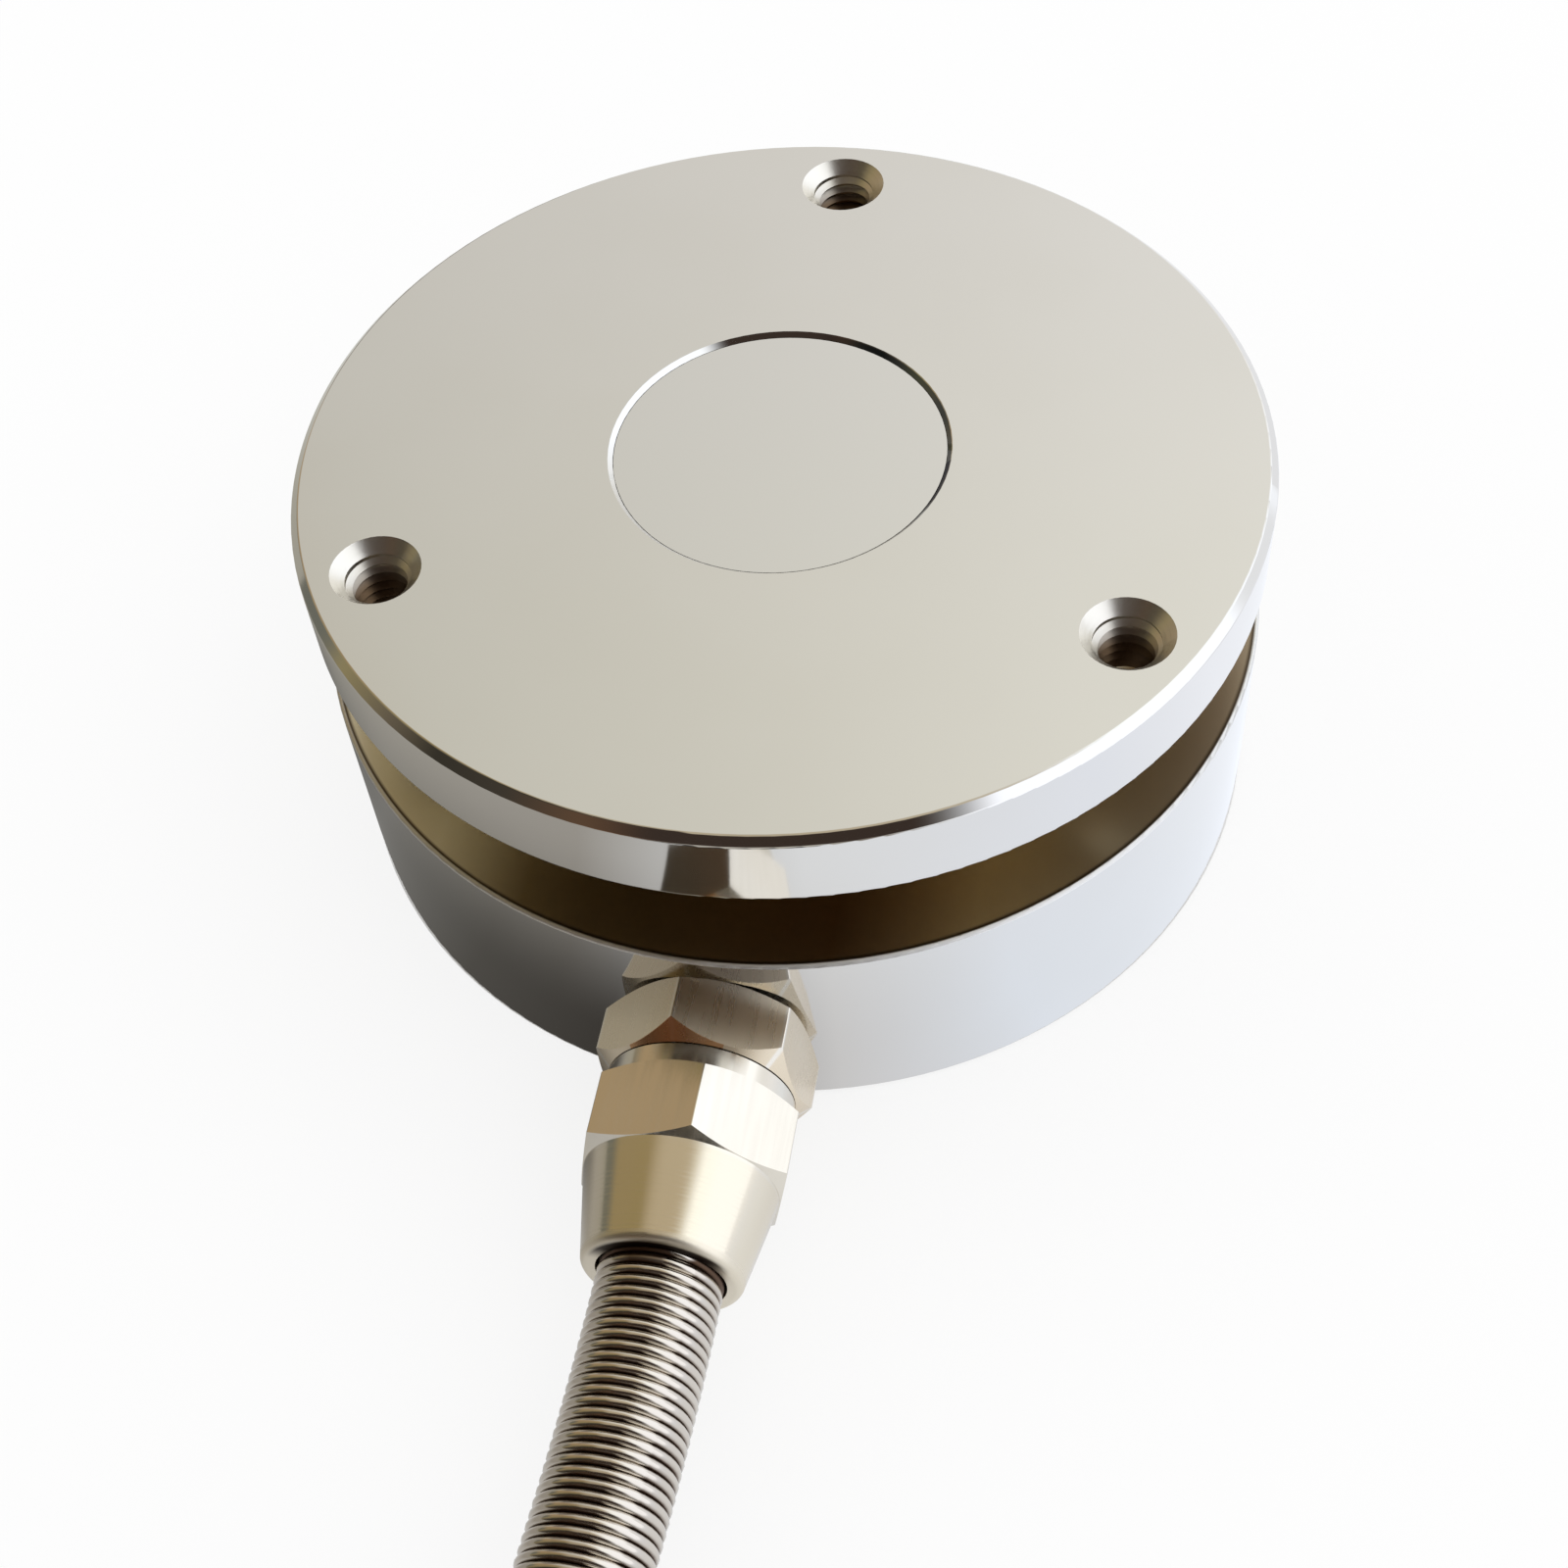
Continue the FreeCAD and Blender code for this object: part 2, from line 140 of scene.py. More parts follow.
def fromAxis(tree, across, up):
    return calc(tree, "SQRT", calc(tree, "MULTIPLY_ADD", across, across, calc(tree, "MULTIPLY", up, up)))


def noise(tree, place, scale, detail=2.0):
    sockets = {"Vector": place, "Scale": scale, "Detail": detail}
    return node(tree, "ShaderNodeTexNoise", sockets).outputs["Fac"]


def effect(tree, group, **inputs):
    return node(tree, "ShaderNodeGroup", inputs, node_tree=group).outputs


def blendValue(tree, factor, first, second):
    return node(tree, "ShaderNodeMix", {0: factor, 2: first, 3: second}).outputs[0]


def blendColour(tree, factor, first, second, way="MIX"):
    sockets = {0: factor}
    for socket, colour in ((6, first), (7, second)):
        sockets[socket] = (*colour, 1) if isinstance(colour, tuple) else colour
    return node(tree, "ShaderNodeMix", sockets, data_type="RGBA", blend_type=way).outputs[2]


def colourRamp(tree, value, stops):
    ramp = node(tree, "ShaderNodeValToRGB", {"Fac": value})
    band = ramp.color_ramp.elements
    for i, (where, colour) in enumerate(stops):
        stop = band[i] if i < 2 else band.new(where)
        stop.position = where
        stop.color = (*colour, 1)
    return ramp.outputs["Color"]


def effectGroup(name, inputs, outputs):
    group = bpy.data.node_groups.new(name, "ShaderNodeTree")
    for title, start in inputs.items():
        kind = "NodeSocketVector" if start is None else "NodeSocketFloat"
        socket = group.interface.new_socket(title, in_out="INPUT", socket_type=kind)
        if start is not None:
            socket.default_value = start
    for title in outputs:
        group.interface.new_socket(title, in_out="OUTPUT", socket_type="NodeSocketFloat")
    return group, node(group, "NodeGroupInput").outputs, node(group, "NodeGroupOutput").inputs


# Shared surface effects
polishLook = {
    "lines": 900.0,  # to the metre
    "passes": [(35, 0.03), (-50, 0.05)],  # degrees of a buffing pass, and how far its marks are drawn out
    "detail": 1.5,
    "cloud": (70.0, 3.0),  # scale and detail
    "haze": (0.35, 0.7),
}
latheLook = {
    "lines": 9000.0,
    "shade": (0.35, 0.65),
}
skinLook = {
    "grain": 4000.0,
    "cloud": (160.0, 3.0),
    "tone": (0.3, 0.7),
}


def makePolishMarks():
    look = polishLook
    inputs = {"Place": None, "Lines": look["lines"]}
    group, given, result = effectGroup("polishMarks", inputs, ["Height", "Haze"])
    passes = []
    for turn, stretch in look["passes"]:
        laid = node(group, "ShaderNodeMapping", {
            "Vector": given["Place"], "Rotation": (0, 0, radians(turn)), "Scale": (stretch, 1, 1)})
        passes.append(noise(group, laid.outputs[0], given["Lines"], look["detail"]))
    cloud = noise(group, given["Place"], *look["cloud"])
    group.links.new(calc(group, "MULTIPLY", *passes), result["Height"])
    group.links.new(ease(group, cloud, *look["haze"]), result["Haze"])
    return group


def makeLatheLines():
    look = latheLook
    inputs = {"Distance": 0.0, "Lines": look["lines"]}
    group, given, result = effectGroup("latheLines", inputs, ["Height", "Shade"])
    along = calc(group, "MULTIPLY", given["Distance"], given["Lines"])
    lines = node(group, "ShaderNodeTexNoise", {"W": along, "Scale": 1.0}, noise_dimensions="1D").outputs
    group.links.new(lines["Fac"], result["Height"])
    group.links.new(ease(group, lines["Fac"], *look["shade"]), result["Shade"])
    return group


def makeMouldedSkin():
    look = skinLook
    inputs = {"Place": None, "Grain": look["grain"]}
    group, given, result = effectGroup("mouldedSkin", inputs, ["Height", "Tone"])
    cloud = noise(group, given["Place"], *look["cloud"])
    group.links.new(noise(group, given["Place"], given["Grain"]), result["Height"])
    group.links.new(ease(group, cloud, *look["tone"]), result["Tone"])
    return group


polishMarks = makePolishMarks()
latheLines = makeLatheLines()
mouldedSkin = makeMouldedSkin()


def startMaterial(name, colour, roughness, metallic=0.0):
    material = bpy.data.materials.new(name)
    material.use_nodes = True
    tree = material.node_tree
    shader = tree.nodes["Principled BSDF"]
    shader.inputs["Base Color"].default_value = (*colour, 1)
    shader.inputs["Roughness"].default_value = roughness
    shader.inputs["Metallic"].default_value = metallic
    place = node(tree, "ShaderNodeTexCoord").outputs["Object"]
    return material, tree, shader, place


def addBump(tree, shader, height, strength, distance):
    bump = node(tree, "ShaderNodeBump", {"Height": height, "Strength": strength, "Distance": distance})
    tree.links.new(bump.outputs["Normal"], shader.inputs["Normal"])


# Polished plating on the cell: satin and warmer in the groove and in the tapped holes, cooler on the disc;
# painted light and shade in the groove, painted shade deep in the holes and on the seam's right
steelLook = {
    "colour": (0.745, 0.735, 0.71),
    "hazed": (0.735, 0.724, 0.695),
    "roughness": (0.05, 0.085),
    "discColour": (0.74, 0.735, 0.72),
    "discEdge": 0.01022,  # radius
    "discFoot": 0.0242,  # height
    # colour of the painted shade on the seam's right
    "seamShadeColour": (0.15, 0.18, 0.22),
    "seamEdge": 0.0108,
    "seamTop": 0.02625,
    "seamShade": (0.0, 0.0045),  # painted shade, darker from the middle to the right
    "seamFront": (-0.003, -0.007),  # satin there, so it fades into the face
    "seamRoughness": 0.5,
    "grooveLightAndShade": [  # painted light and shade, by the distance to the right of the middle: lighter at the left end
        (-0.0215, (0.88, 0.82, 0.65)),
        (-0.0175, (0.96, 0.92, 0.80)),
        (-0.0115, (0.48, 0.39, 0.24)),
        (0.000, (0.53, 0.40, 0.22)),
        (0.007, (0.42, 0.28, 0.13)),
        (0.015, (0.84, 0.72, 0.47)),
        (0.023, (0.58, 0.49, 0.34)),
        (0.028, (0.42, 0.34, 0.24)),
    ],
    "grooveRoughness": 0.32,
    "grooveEdge": (0.02945, 0.0297),  # painted shade line along the floor's outer edge
    "grooveEdgeShade": (0.10, 0.075, 0.05),
    "grooveFloor": 0.01408,
    "grooveRoof": 0.0212,
    "grooveMouth": 0.0298,
    "mouthFade": 0.0001,
    "lipFade": 0.00005,
    "lipRoughness": 0.5,
    "holeColour": (0.78, 0.75, 0.68),
    # painted shade deep in the tapped holes
    "holeShade": (0.13, 0.085, 0.05),
    "holeDepths": (0.0234, 0.0257),  # heights below which the wall is in painted shade, and above which it is plain
    "holeRoughness": 0.31,
    "holeLines": (7000.0, 15.0),  # turned rings to the metre, and how deep
    "holeMouth": 0.00274,
    "bump": (0.02, 0.0001),  # strength and depth
}


def grooveMasks(tree, split, radius, look):
    above = ease(tree, split["Z"], look["grooveFloor"], look["grooveFloor"] + look["lipFade"])
    below = ease(tree, split["Z"], look["grooveRoof"] - look["lipFade"], look["grooveRoof"], 1.0, 0.0)
    within = ease(tree, radius, look["grooveMouth"] - look["mouthFade"], look["grooveMouth"], 1.0, 0.0)
    lips = calc(tree, "MULTIPLY", above, below)
    return lips, calc(tree, "MULTIPLY", lips, within)


# Painted light and shade along the groove, with a painted shade line at the floor's outer edge
def grooveShadeColour(tree, split, radius, look):
    share = calc(tree, "MULTIPLY_ADD", split["X"], 0.5 / look["grooveMouth"], 0.5)
    tones = [(0.5 + 0.5 * x / look["grooveMouth"], colour) for x, colour in look["grooveLightAndShade"]]
    edge = ease(tree, radius, *look["grooveEdge"])
    return blendColour(tree, edge, colourRamp(tree, share, tones), look["grooveEdgeShade"])


def seamMasks(tree, split, radius, look):
    inSeam = calc(tree, "MULTIPLY", calc(tree, "LESS_THAN", radius, look["seamEdge"]),
                  calc(tree, "LESS_THAN", split["Z"], look["seamTop"]))
    inSeam = calc(tree, "MULTIPLY", inSeam, calc(tree, "GREATER_THAN", radius, look["discEdge"]))
    fading = ease(tree, split["Y"], *look["seamFront"])
    shaded = calc(tree, "SUBTRACT", ease(tree, split["X"], *look["seamShade"]), fading)
    shaded = calc(tree, "MULTIPLY", inSeam, calc(tree, "MAXIMUM", shaded, 0.0))
    return shaded, calc(tree, "MULTIPLY", inSeam, fading)


def nearHole(tree, place, look):
    bolts = boltSizes("flange_bolts")
    nearest = 1.0  # farther off than any hole
    for k in range(bolts["Holes"]):
        a = bolts["First"] + tau * k / bolts["Holes"]
        centre = (bolts["Circle"] * cos(a), bolts["Circle"] * sin(a), 0)
        off = node(tree, "ShaderNodeVectorMath", {0: place, 1: centre}, operation="SUBTRACT").outputs[0]
        split = axes(tree, off)
        nearest = calc(tree, "MINIMUM", fromAxis(tree, split["X"], split["Y"]), nearest)
    return nearest, calc(tree, "LESS_THAN", nearest, look["holeMouth"])


def makePlatedSteel():
    look = steelLook
    material, tree, shader, place = startMaterial("platedSteel", look["colour"], look["roughness"][0], 1.0)
    marks = effect(tree, polishMarks, Place=place)
    split = axes(tree, place)
    radius = fromAxis(tree, split["X"], split["Y"])
    lips, groove = grooveMasks(tree, split, radius, look)
    shaded, satin = seamMasks(tree, split, radius, look)
    fromHole, bored = nearHole(tree, place, look)
    onDisc = calc(tree, "MULTIPLY", calc(tree, "LESS_THAN", radius, look["discEdge"]),
                  calc(tree, "GREATER_THAN", split["Z"], look["discFoot"]))
    # where the tapped holes' walls leave the painted shade deeper down
    clean = ease(tree, split["Z"], *look["holeDepths"])
    skin = blendColour(tree, marks["Haze"], look["colour"], look["hazed"])
    skin = blendColour(tree, onDisc, skin, look["discColour"])
    # painted shade on the right of the seam
    skin = blendColour(tree, shaded, skin, look["seamShadeColour"])
    # painted shade deep in the tapped holes
    skin = blendColour(tree, bored, skin, blendColour(tree, clean, look["holeShade"], look["holeColour"]))
    # painted light and shade in the groove
    skin = blendColour(tree, groove, skin, grooveShadeColour(tree, split, radius, look))
    tree.links.new(skin, shader.inputs["Base Color"])
    gloss = ease(tree, marks["Haze"], 0.0, 1.0, *look["roughness"])
    gloss = blendValue(tree, satin, gloss, look["seamRoughness"])
    gloss = blendValue(tree, bored, gloss, look["holeRoughness"])
    gloss = blendValue(tree, lips, gloss, look["lipRoughness"])
    gloss = blendValue(tree, groove, gloss, look["grooveRoughness"])
    tree.links.new(gloss, shader.inputs["Roughness"])
    fine, deep = look["holeLines"]
    rings = effect(tree, latheLines, Distance=fromHole, Lines=fine)
    turned = calc(tree, "MULTIPLY", rings["Height"], deep)
    addBump(tree, shader, blendValue(tree, bored, marks["Height"], turned), *look["bump"])
    return material


# Plated brass of the gland: drawn lines on the hexagons, turned lines on the nose, painted shade in the
# bore round the spring
brassLook = {
    "nut": {
        "colours": [(0.80, 0.765, 0.69), (0.77, 0.72, 0.62)],  # clean and worn
        "roughness": (0.12, 0.22),
        "bump": 0.06,
        "turn": 10,  # degrees from upright to the hexagon's top corner
        "rubbed": 0.0,
    },
    "body": {  # duller than the nut, with rubbed edges
        "colours": [(0.88, 0.80, 0.665), (0.80, 0.69, 0.52)],
        "roughness": (0.27, 0.285),
        "bump": 0.02,
        "turn": -12,
        "rubbed": 0.8,
    },
    "boreShadeColour": (0.03, 0.02, 0.015),
    "noseRoot": (-0.0407, -0.0404),  # the nose begins here, along the gland
    "noseTint": (1.0, 0.98, 0.93),
    "noseTip": (-0.0455, -0.0458),
    "tipRoughness": 0.22,
    "edgeColour": (0.93, 0.90, 0.83),
    "edgeWidth": (radians(0.6), radians(2.2)),
    "halfSide": radians(30),  # half a hexagon's side, as its axis sees it
    "chamferColour": (0.60, 0.30, 0.13),  # reddish brown on the body's top corner
    "chamferCone": 0.03986,  # radius less the place along the gland, on the cone
    "boreDepth": (-0.0455, -0.0459),
    "boreEdge": (0.0042, 0.0045),
    "boreTop": (0.0085, 0.0100),  # painted shade on the upper side only
    "turnedLines": 7000.0,
    "drawnLines": 2600.0,
    "drawnOut": (1, 0.06, 1),
    "markLines": 1500.0,
    "lineBand": (0.3, 0.7),
    "bumpDepth": 0.00005,
}


def makePlatedBrass(name, part):
    look = brassLook | part
    clean, worn = look["colours"]
    material, tree, shader, place = startMaterial(name, clean, look["roughness"][0], 1.0)
    split = axes(tree, place)
    turned = effect(tree, latheLines, Distance=split["Y"], Lines=look["turnedLines"])
    marks = effect(tree, polishMarks, Place=place, Lines=look["markLines"])
    along = node(tree, "ShaderNodeMapping", {"Vector": place, "Scale": look["drawnOut"]}).outputs[0]
    drawn = noise(tree, along, look["drawnLines"])
    nose = ease(tree, split["Y"], *look["noseRoot"], 1.0, 0.0)
    lines = blendValue(tree, nose, drawn, turned["Height"])
    up = calc(tree, "SUBTRACT", split["Z"], glandHeight)
    radius = fromAxis(tree, split["X"], up)
    # painted shade in the bore's mouth, above the spring
    boreShade = calc(tree, "MULTIPLY", ease(tree, radius, *look["boreEdge"], 1.0, 0.0),
                ease(tree, split["Y"], *look["boreDepth"]))
    boreShade = calc(tree, "MULTIPLY", boreShade, ease(tree, split["Z"], *look["boreTop"]))
    skin = blendColour(tree, marks["Haze"], clean, worn)
    skin = blendColour(tree, nose, skin, blendColour(tree, 1.0, skin, look["noseTint"], "MULTIPLY"))
    topCorner = radians(look["turn"])
    angle = calc(tree, "ARCTAN2", split["X"], up)
    fromEdge = calc(tree, "PINGPONG", calc(tree, "SUBTRACT", angle, topCorner), look["halfSide"])
    bare = ease(tree, fromEdge, *look["edgeWidth"], look["rubbed"], 0.0)
    skin = blendColour(tree, bare, skin, look["edgeColour"])
    onCone = calc(tree, "GREATER_THAN", calc(tree, "SUBTRACT", radius, split["Y"]), look["chamferCone"])
    onTop = calc(tree, "COMPARE", angle, topCorner, look["halfSide"])
    corner = calc(tree, "MULTIPLY", calc(tree, "MULTIPLY", onCone, onTop), look["rubbed"])
    skin = blendColour(tree, corner, skin, look["chamferColour"])
    # painted shade in the bore
    skin = blendColour(tree, boreShade, skin, look["boreShadeColour"])
    tree.links.new(skin, shader.inputs["Base Color"])
    gloss = ease(tree, lines, *look["lineBand"], *look["roughness"])
    dull = ease(tree, split["Y"], *look["noseTip"], 0.0, look["tipRoughness"])
    tree.links.new(calc(tree, "ADD", gloss, dull), shader.inputs["Roughness"])
    addBump(tree, shader, lines, look["bump"], look["bumpDepth"])
    return material


# Spring wire: bright outside, dark where the turns meet (stain and painted shade), painted shade where they
# leave the nut, painted light and shade by the side
wireLook = {
    "colour": (0.67, 0.62, 0.55),
    "stainAndShade": (0.12, 0.075, 0.05),
    "clean": (0.42, 0.97),  # from stain with painted shade to bright, by how far out the surface is
    "leaves": (-0.0471, -0.0463),  # where the turns come out of the nut
    "sideLight": [  # painted light and shade, from the left side to the right
        (-1.0, 0.50),
        (-0.65, 0.38),
        (-0.35, 0.0),
        (0.15, 0.0),
        (0.38, 0.9),
        (0.50, 0.8),
        (0.66, 0.10),
    ],
    "roughness": (0.45, 0.14),
    "grain": 6000.0,
    "patchy": -0.15,
    "nutShade": 0.6,  # painted shade added inside the nut
    "bump": (0.03, 0.00002),
}


def makeSpringWire():
    look = wireLook
    material, tree, shader, place = startMaterial("springWire", look["colour"], look["roughness"][1], 1.0)
    skin = effect(tree, mouldedSkin, Place=place, Grain=look["grain"])
    along = axes(tree, place)["Y"]
    outward = node(tree, "ShaderNodeAttribute", attribute_name="wireOut").outputs["Fac"]
    side = node(tree, "ShaderNodeAttribute", attribute_name="wireSide").outputs["Fac"]
    stops = [(0.5 + 0.5 * where, (sideLight,) * 3) for where, sideLight in look["sideLight"]]
    sideLight = colourRamp(tree, calc(tree, "MULTIPLY_ADD", side, 0.5, 0.5), stops)
    # painted light and shade by the side, and painted shade where the turns leave the nut
    uneven = calc(tree, "ADD", calc(tree, "MULTIPLY_ADD", skin["Tone"], look["patchy"], outward), sideLight)
    nutShading = ease(tree, along, *look["leaves"], 0.0, look["nutShade"])
    clean = ease(tree, calc(tree, "SUBTRACT", uneven, nutShading), *look["clean"])
    # dark colour: stain with painted shade
    colour = blendColour(tree, clean, look["stainAndShade"], look["colour"])
    tree.links.new(colour, shader.inputs["Base Color"])
    tree.links.new(ease(tree, clean, 0.0, 1.0, *look["roughness"]), shader.inputs["Roughness"])
    addBump(tree, shader, skin["Height"], *look["bump"])
    return material


# Turned metal that isn't plated: rings round the cell's axis
turnedLook = {
    "darker": 0.88,
    "rougher": 0.15,
    "bump": (0.15, 0.00005),
}
turnedMetals = {  # name, colour, roughness, rings to the metre
    "cover_steel": ("turnedCover", (0.56, 0.56, 0.56), 0.24, 5000.0),
    "screw_steel": ("screwSteel", (0.50, 0.50, 0.50), 0.28, 9000.0),
    "washer_brass": ("washerBrass", (0.72, 0.52, 0.22), 0.25, 9000.0),
}


def makeTurnedMetal(name, colour, roughness, lines):
    look = turnedLook
    material, tree, shader, place = startMaterial(name, colour, roughness, 1.0)
    split = axes(tree, place)
    rings = effect(tree, latheLines, Distance=fromAxis(tree, split["X"], split["Y"]), Lines=lines)
    darker = tuple(look["darker"] * v for v in colour)
    tree.links.new(blendColour(tree, rings["Shade"], colour, darker), shader.inputs["Base Color"])
    gloss = ease(tree, rings["Shade"], 0.0, 1.0, roughness, roughness + look["rougher"])
    tree.links.new(gloss, shader.inputs["Roughness"])
    addBump(tree, shader, rings["Height"], *look["bump"])
    return material


# Plastics, rubber, film, laminate and bare wire share the moulded skin
mouldedLook = {
    "rougher": 0.1,
    "bumpDepth": 0.00005,
}
mouldedParts = {  # name, colour, deeper colour, roughness, grain to the metre, bump, metallic
    "gauge_film": ("amberFilm", (0.62, 0.34, 0.08), (0.50, 0.25, 0.05), 0.25, 2500.0, 0.05),
    "copper_wire": ("copperWire", (0.72, 0.38, 0.20), (0.60, 0.28, 0.13), 0.25, 5000.0, 0.05, 1.0),
    "board_laminate": ("boardLaminate", (0.05, 0.24, 0.10), (0.03, 0.17, 0.07), 0.35, 2500.0, 0.10),
    "resistor_body": ("resistorBody", (0.03, 0.03, 0.03), (0.05, 0.05, 0.05), 0.45, 5000.0, 0.10),
    "seal_rubber": ("sealRubber", (0.03, 0.03, 0.03), (0.045, 0.045, 0.045), 0.65, 5000.0, 0.15),
    "cable_jacket": ("cableJacket", (0.06, 0.06, 0.065), (0.045, 0.045, 0.05), 0.42, 3500.0, 0.12),
    "tie_nylon": ("tieNylon", (0.70, 0.70, 0.68), (0.62, 0.62, 0.59), 0.40, 2500.0, 0.06),
    "core_red": ("coreRed", (0.55, 0.03, 0.02), (0.45, 0.02, 0.015), 0.38, 5000.0, 0.06),
    "core_black": ("coreBlack", (0.02, 0.02, 0.02), (0.03, 0.03, 0.03), 0.38, 5000.0, 0.06),
    "core_green": ("coreGreen", (0.03, 0.30, 0.08), (0.02, 0.24, 0.06), 0.38, 5000.0, 0.06),
    "core_white": ("coreWhite", (0.75, 0.75, 0.73), (0.68, 0.68, 0.65), 0.38, 5000.0, 0.06),
}
tinned = ("tinnedCopper", (0.66, 0.65, 0.63), (0.58, 0.57, 0.55), 0.28, 6000.0, 0.08, 1.0)


def makeMoulded(name, colour, deeper, roughness, grain, bump, metallic=0.0):
    look = mouldedLook
    material, tree, shader, place = startMaterial(name, colour, roughness, metallic)
    skin = effect(tree, mouldedSkin, Place=place, Grain=grain)
    tree.links.new(blendColour(tree, skin["Tone"], colour, deeper), shader.inputs["Base Color"])
    gloss = ease(tree, skin["Tone"], 0.0, 1.0, roughness, roughness + look["rougher"])
    tree.links.new(gloss, shader.inputs["Roughness"])
    addBump(tree, shader, skin["Height"], bump, look["bumpDepth"])
    return material


finish = {
    "plated_steel": makePlatedSteel(),
    "plated_brass": makePlatedBrass("platedBrass", brassLook["nut"]),
    "spring_steel": makeSpringWire(),
}
finish |= {slot: makeTurnedMetal(*look) for slot, look in turnedMetals.items()}
finish |= {slot: makeMoulded(*look) for slot, look in mouldedParts.items()}
tinnedCopper = makeMoulded(*tinned)

for row in frame["record"]["subparts"]:
    for held in cadNode[row["node"]].material_slots:
        held.material = finish[row["material_slot"]]
for held in cadNode["gland_body"].material_slots:
    held.material = makePlatedBrass("satinBrass", brassLook["body"])
print("materials:", len(finish), "finishes on", len(cadNode), "nodes")


# Curve and mesh helpers
def newCurve(name, radius, sides, smooth=1):
    curve = bpy.data.curves.new(name, "CURVE")
    curve.dimensions = "3D"
    curve.bevel_depth = radius
    curve.bevel_resolution = sides
    curve.resolution_u = smooth
    curve.use_fill_caps = True
    return curve


def addLine(curve, kind, points):
    line = curve.splines.new(kind)
    line.points.add(len(points) - 1)
    for held, point in zip(line.points, points):
        held.co = (*point, 1)
    if kind == "NURBS":
        line.order_u = 3
        line.use_endpoint_u = True


def newMesh(name, shape):
    mesh = bpy.data.meshes.new(name)
    shape.to_mesh(mesh)
    shape.free()
    return mesh


def takeMesh(name, holder):
    mesh = bpy.data.meshes.new_from_object(holder.evaluated_get(bpy.context.evaluated_depsgraph_get()))
    mesh.name = name
    return mesh


def addPiece(name, mesh, slot, material=None):
    piece = show(name, mesh)
    if material:
        mesh.materials.append(material)
    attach(piece, "root")
    return piece


def pieceFromCurve(name, curve, slot, material):
    holder = show(name + "Holder", curve)
    mesh = takeMesh(name, holder)
    bpy.data.objects.remove(holder)
    return addPiece(name, mesh, slot, material)


# Cable: straight out of the spring, down to the table, then a tied coil in front, out of view
cableLook = {
    "diameter": 0.0045,
    "length": 2.03,
    "sides": 5,
    "smooth": 4,
    "leaves": (0, -0.0408, glandHeight),
    "route": [
        (0, -0.0155, glandHeight),
        (-0.00037, -0.05845, glandHeight),  # keeps the run inside the spring nearly straight
        (-0.00092, -0.066, glandHeight),
        (-0.002, -0.0732, 0.0061),
        (-0.0059, -0.0797, 0.0042),
        (-0.0113, -0.0848, 0.00305),
        (-0.018, -0.08836, 0.00305),
    ],
    "coilCentre": (-0.0007, -0.1176),
    "entryAngle": 120.6,
    "turnPitch": 0.0046,
    "outerTurn": 0.0339,
    "layers": [(-1, 3), (1, 3), (-1, 3), (1, 2)],  # inwards or outwards, and how many turns
    "climb": 86.47,  # degrees from one layer to the next
    "pointsPerTurn": 24,
}


def roundCoil(angle, radius, height):
    x, y = cableLook["coilCentre"]
    return x + radius * cos(radians(angle)), y + radius * sin(radians(angle)), height


def coilPoints(look):
    step = 360 / look["pointsPerTurn"]
    outside = 1 / cos(radians(step / 2))  # control points stand outside the turn they draw
    legs = []
    for i, (way, turns) in enumerate(look["layers"]):
        if i:
            legs.append((look["climb"], 0, look["turnPitch"]))
        legs.append((360 * turns, way * turns * look["turnPitch"], 0))
    angle, radius, height = look["entryAngle"], look["outerTurn"], look["route"][-1][2]
    points = []
    for sweep, spread, rise in legs:
        count = round(sweep / step)
        for k in range(1, count + 1):
            share = k / count
            around = (radius + spread * share) * outside
            points.append(roundCoil(angle + sweep * share, around, height + rise * share))
        angle, radius, height = angle + sweep, radius + spread, height + rise
    return points


def layCable():
    look = cableLook
    curve = newCurve("sensorCable", look["diameter"] / 2, look["sides"], look["smooth"])
    addLine(curve, "NURBS", look["route"] + coilPoints(look))
    curve.materials.append(finish["cable_jacket"])
    return show("sensorCable", curve)


# Four leads: they fan out of the cable's end and settle on the coil's outer step
leadLook = {
    "slots": ["core_red", "core_black", "core_green", "core_white"],
    "radius": 0.0005,
    "sides": 4,
    "smooth": 8,
    "spacing": 0.0011,
    "angles": (20.0, 95.0),
    "points": 5,
    "sunk": 2.0,  # degrees that a lead starts inside the cable's end
    "start": (0.0293, 0.01685),  # from the coil's middle, and height
    "rest": (0.03207, 0.01512),
}


def makeLead(index):
    look = leadLook
    first, last = look["angles"]
    fanned, raised = look["start"]
    rest, settledAt = look["rest"]
    fanned += look["spacing"] * (index - (len(look["slots"]) - 1) / 2)
    rest += look["spacing"] * index
    points = [roundCoil(first - look["sunk"], fanned, raised)]
    for k in range(look["points"]):
        share = k / (look["points"] - 1)
        settled = min(1.0, share * 2)  # it lies flat from half its way on
        around = fanned + (rest - fanned) * settled
        height = raised + (settledAt - raised) * settled
        points.append(roundCoil(first + (last - first) * share, around, height))
    curve = newCurve("lead", look["radius"], look["sides"], look["smooth"])
    addLine(curve, "NURBS", points)
    slot = look["slots"][index]
    lead = pieceFromCurve("coreLead%d" % (index + 1), curve, slot, finish[slot])
    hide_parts("core_lead_%d" % (index + 1))
    return lead


# Bare ends of the leads: tinned strands, twisted
tipLook = {
    "length": 0.0052,
    "sunk": 0.0006,
    "strandRadius": 0.00017,
    "sides": 2,
    "loose": 1.05,  # strand radii from the lead's axis to a strand's middle
    "strands": 4,
    "twists": 1.6,
    "points": 25,
}


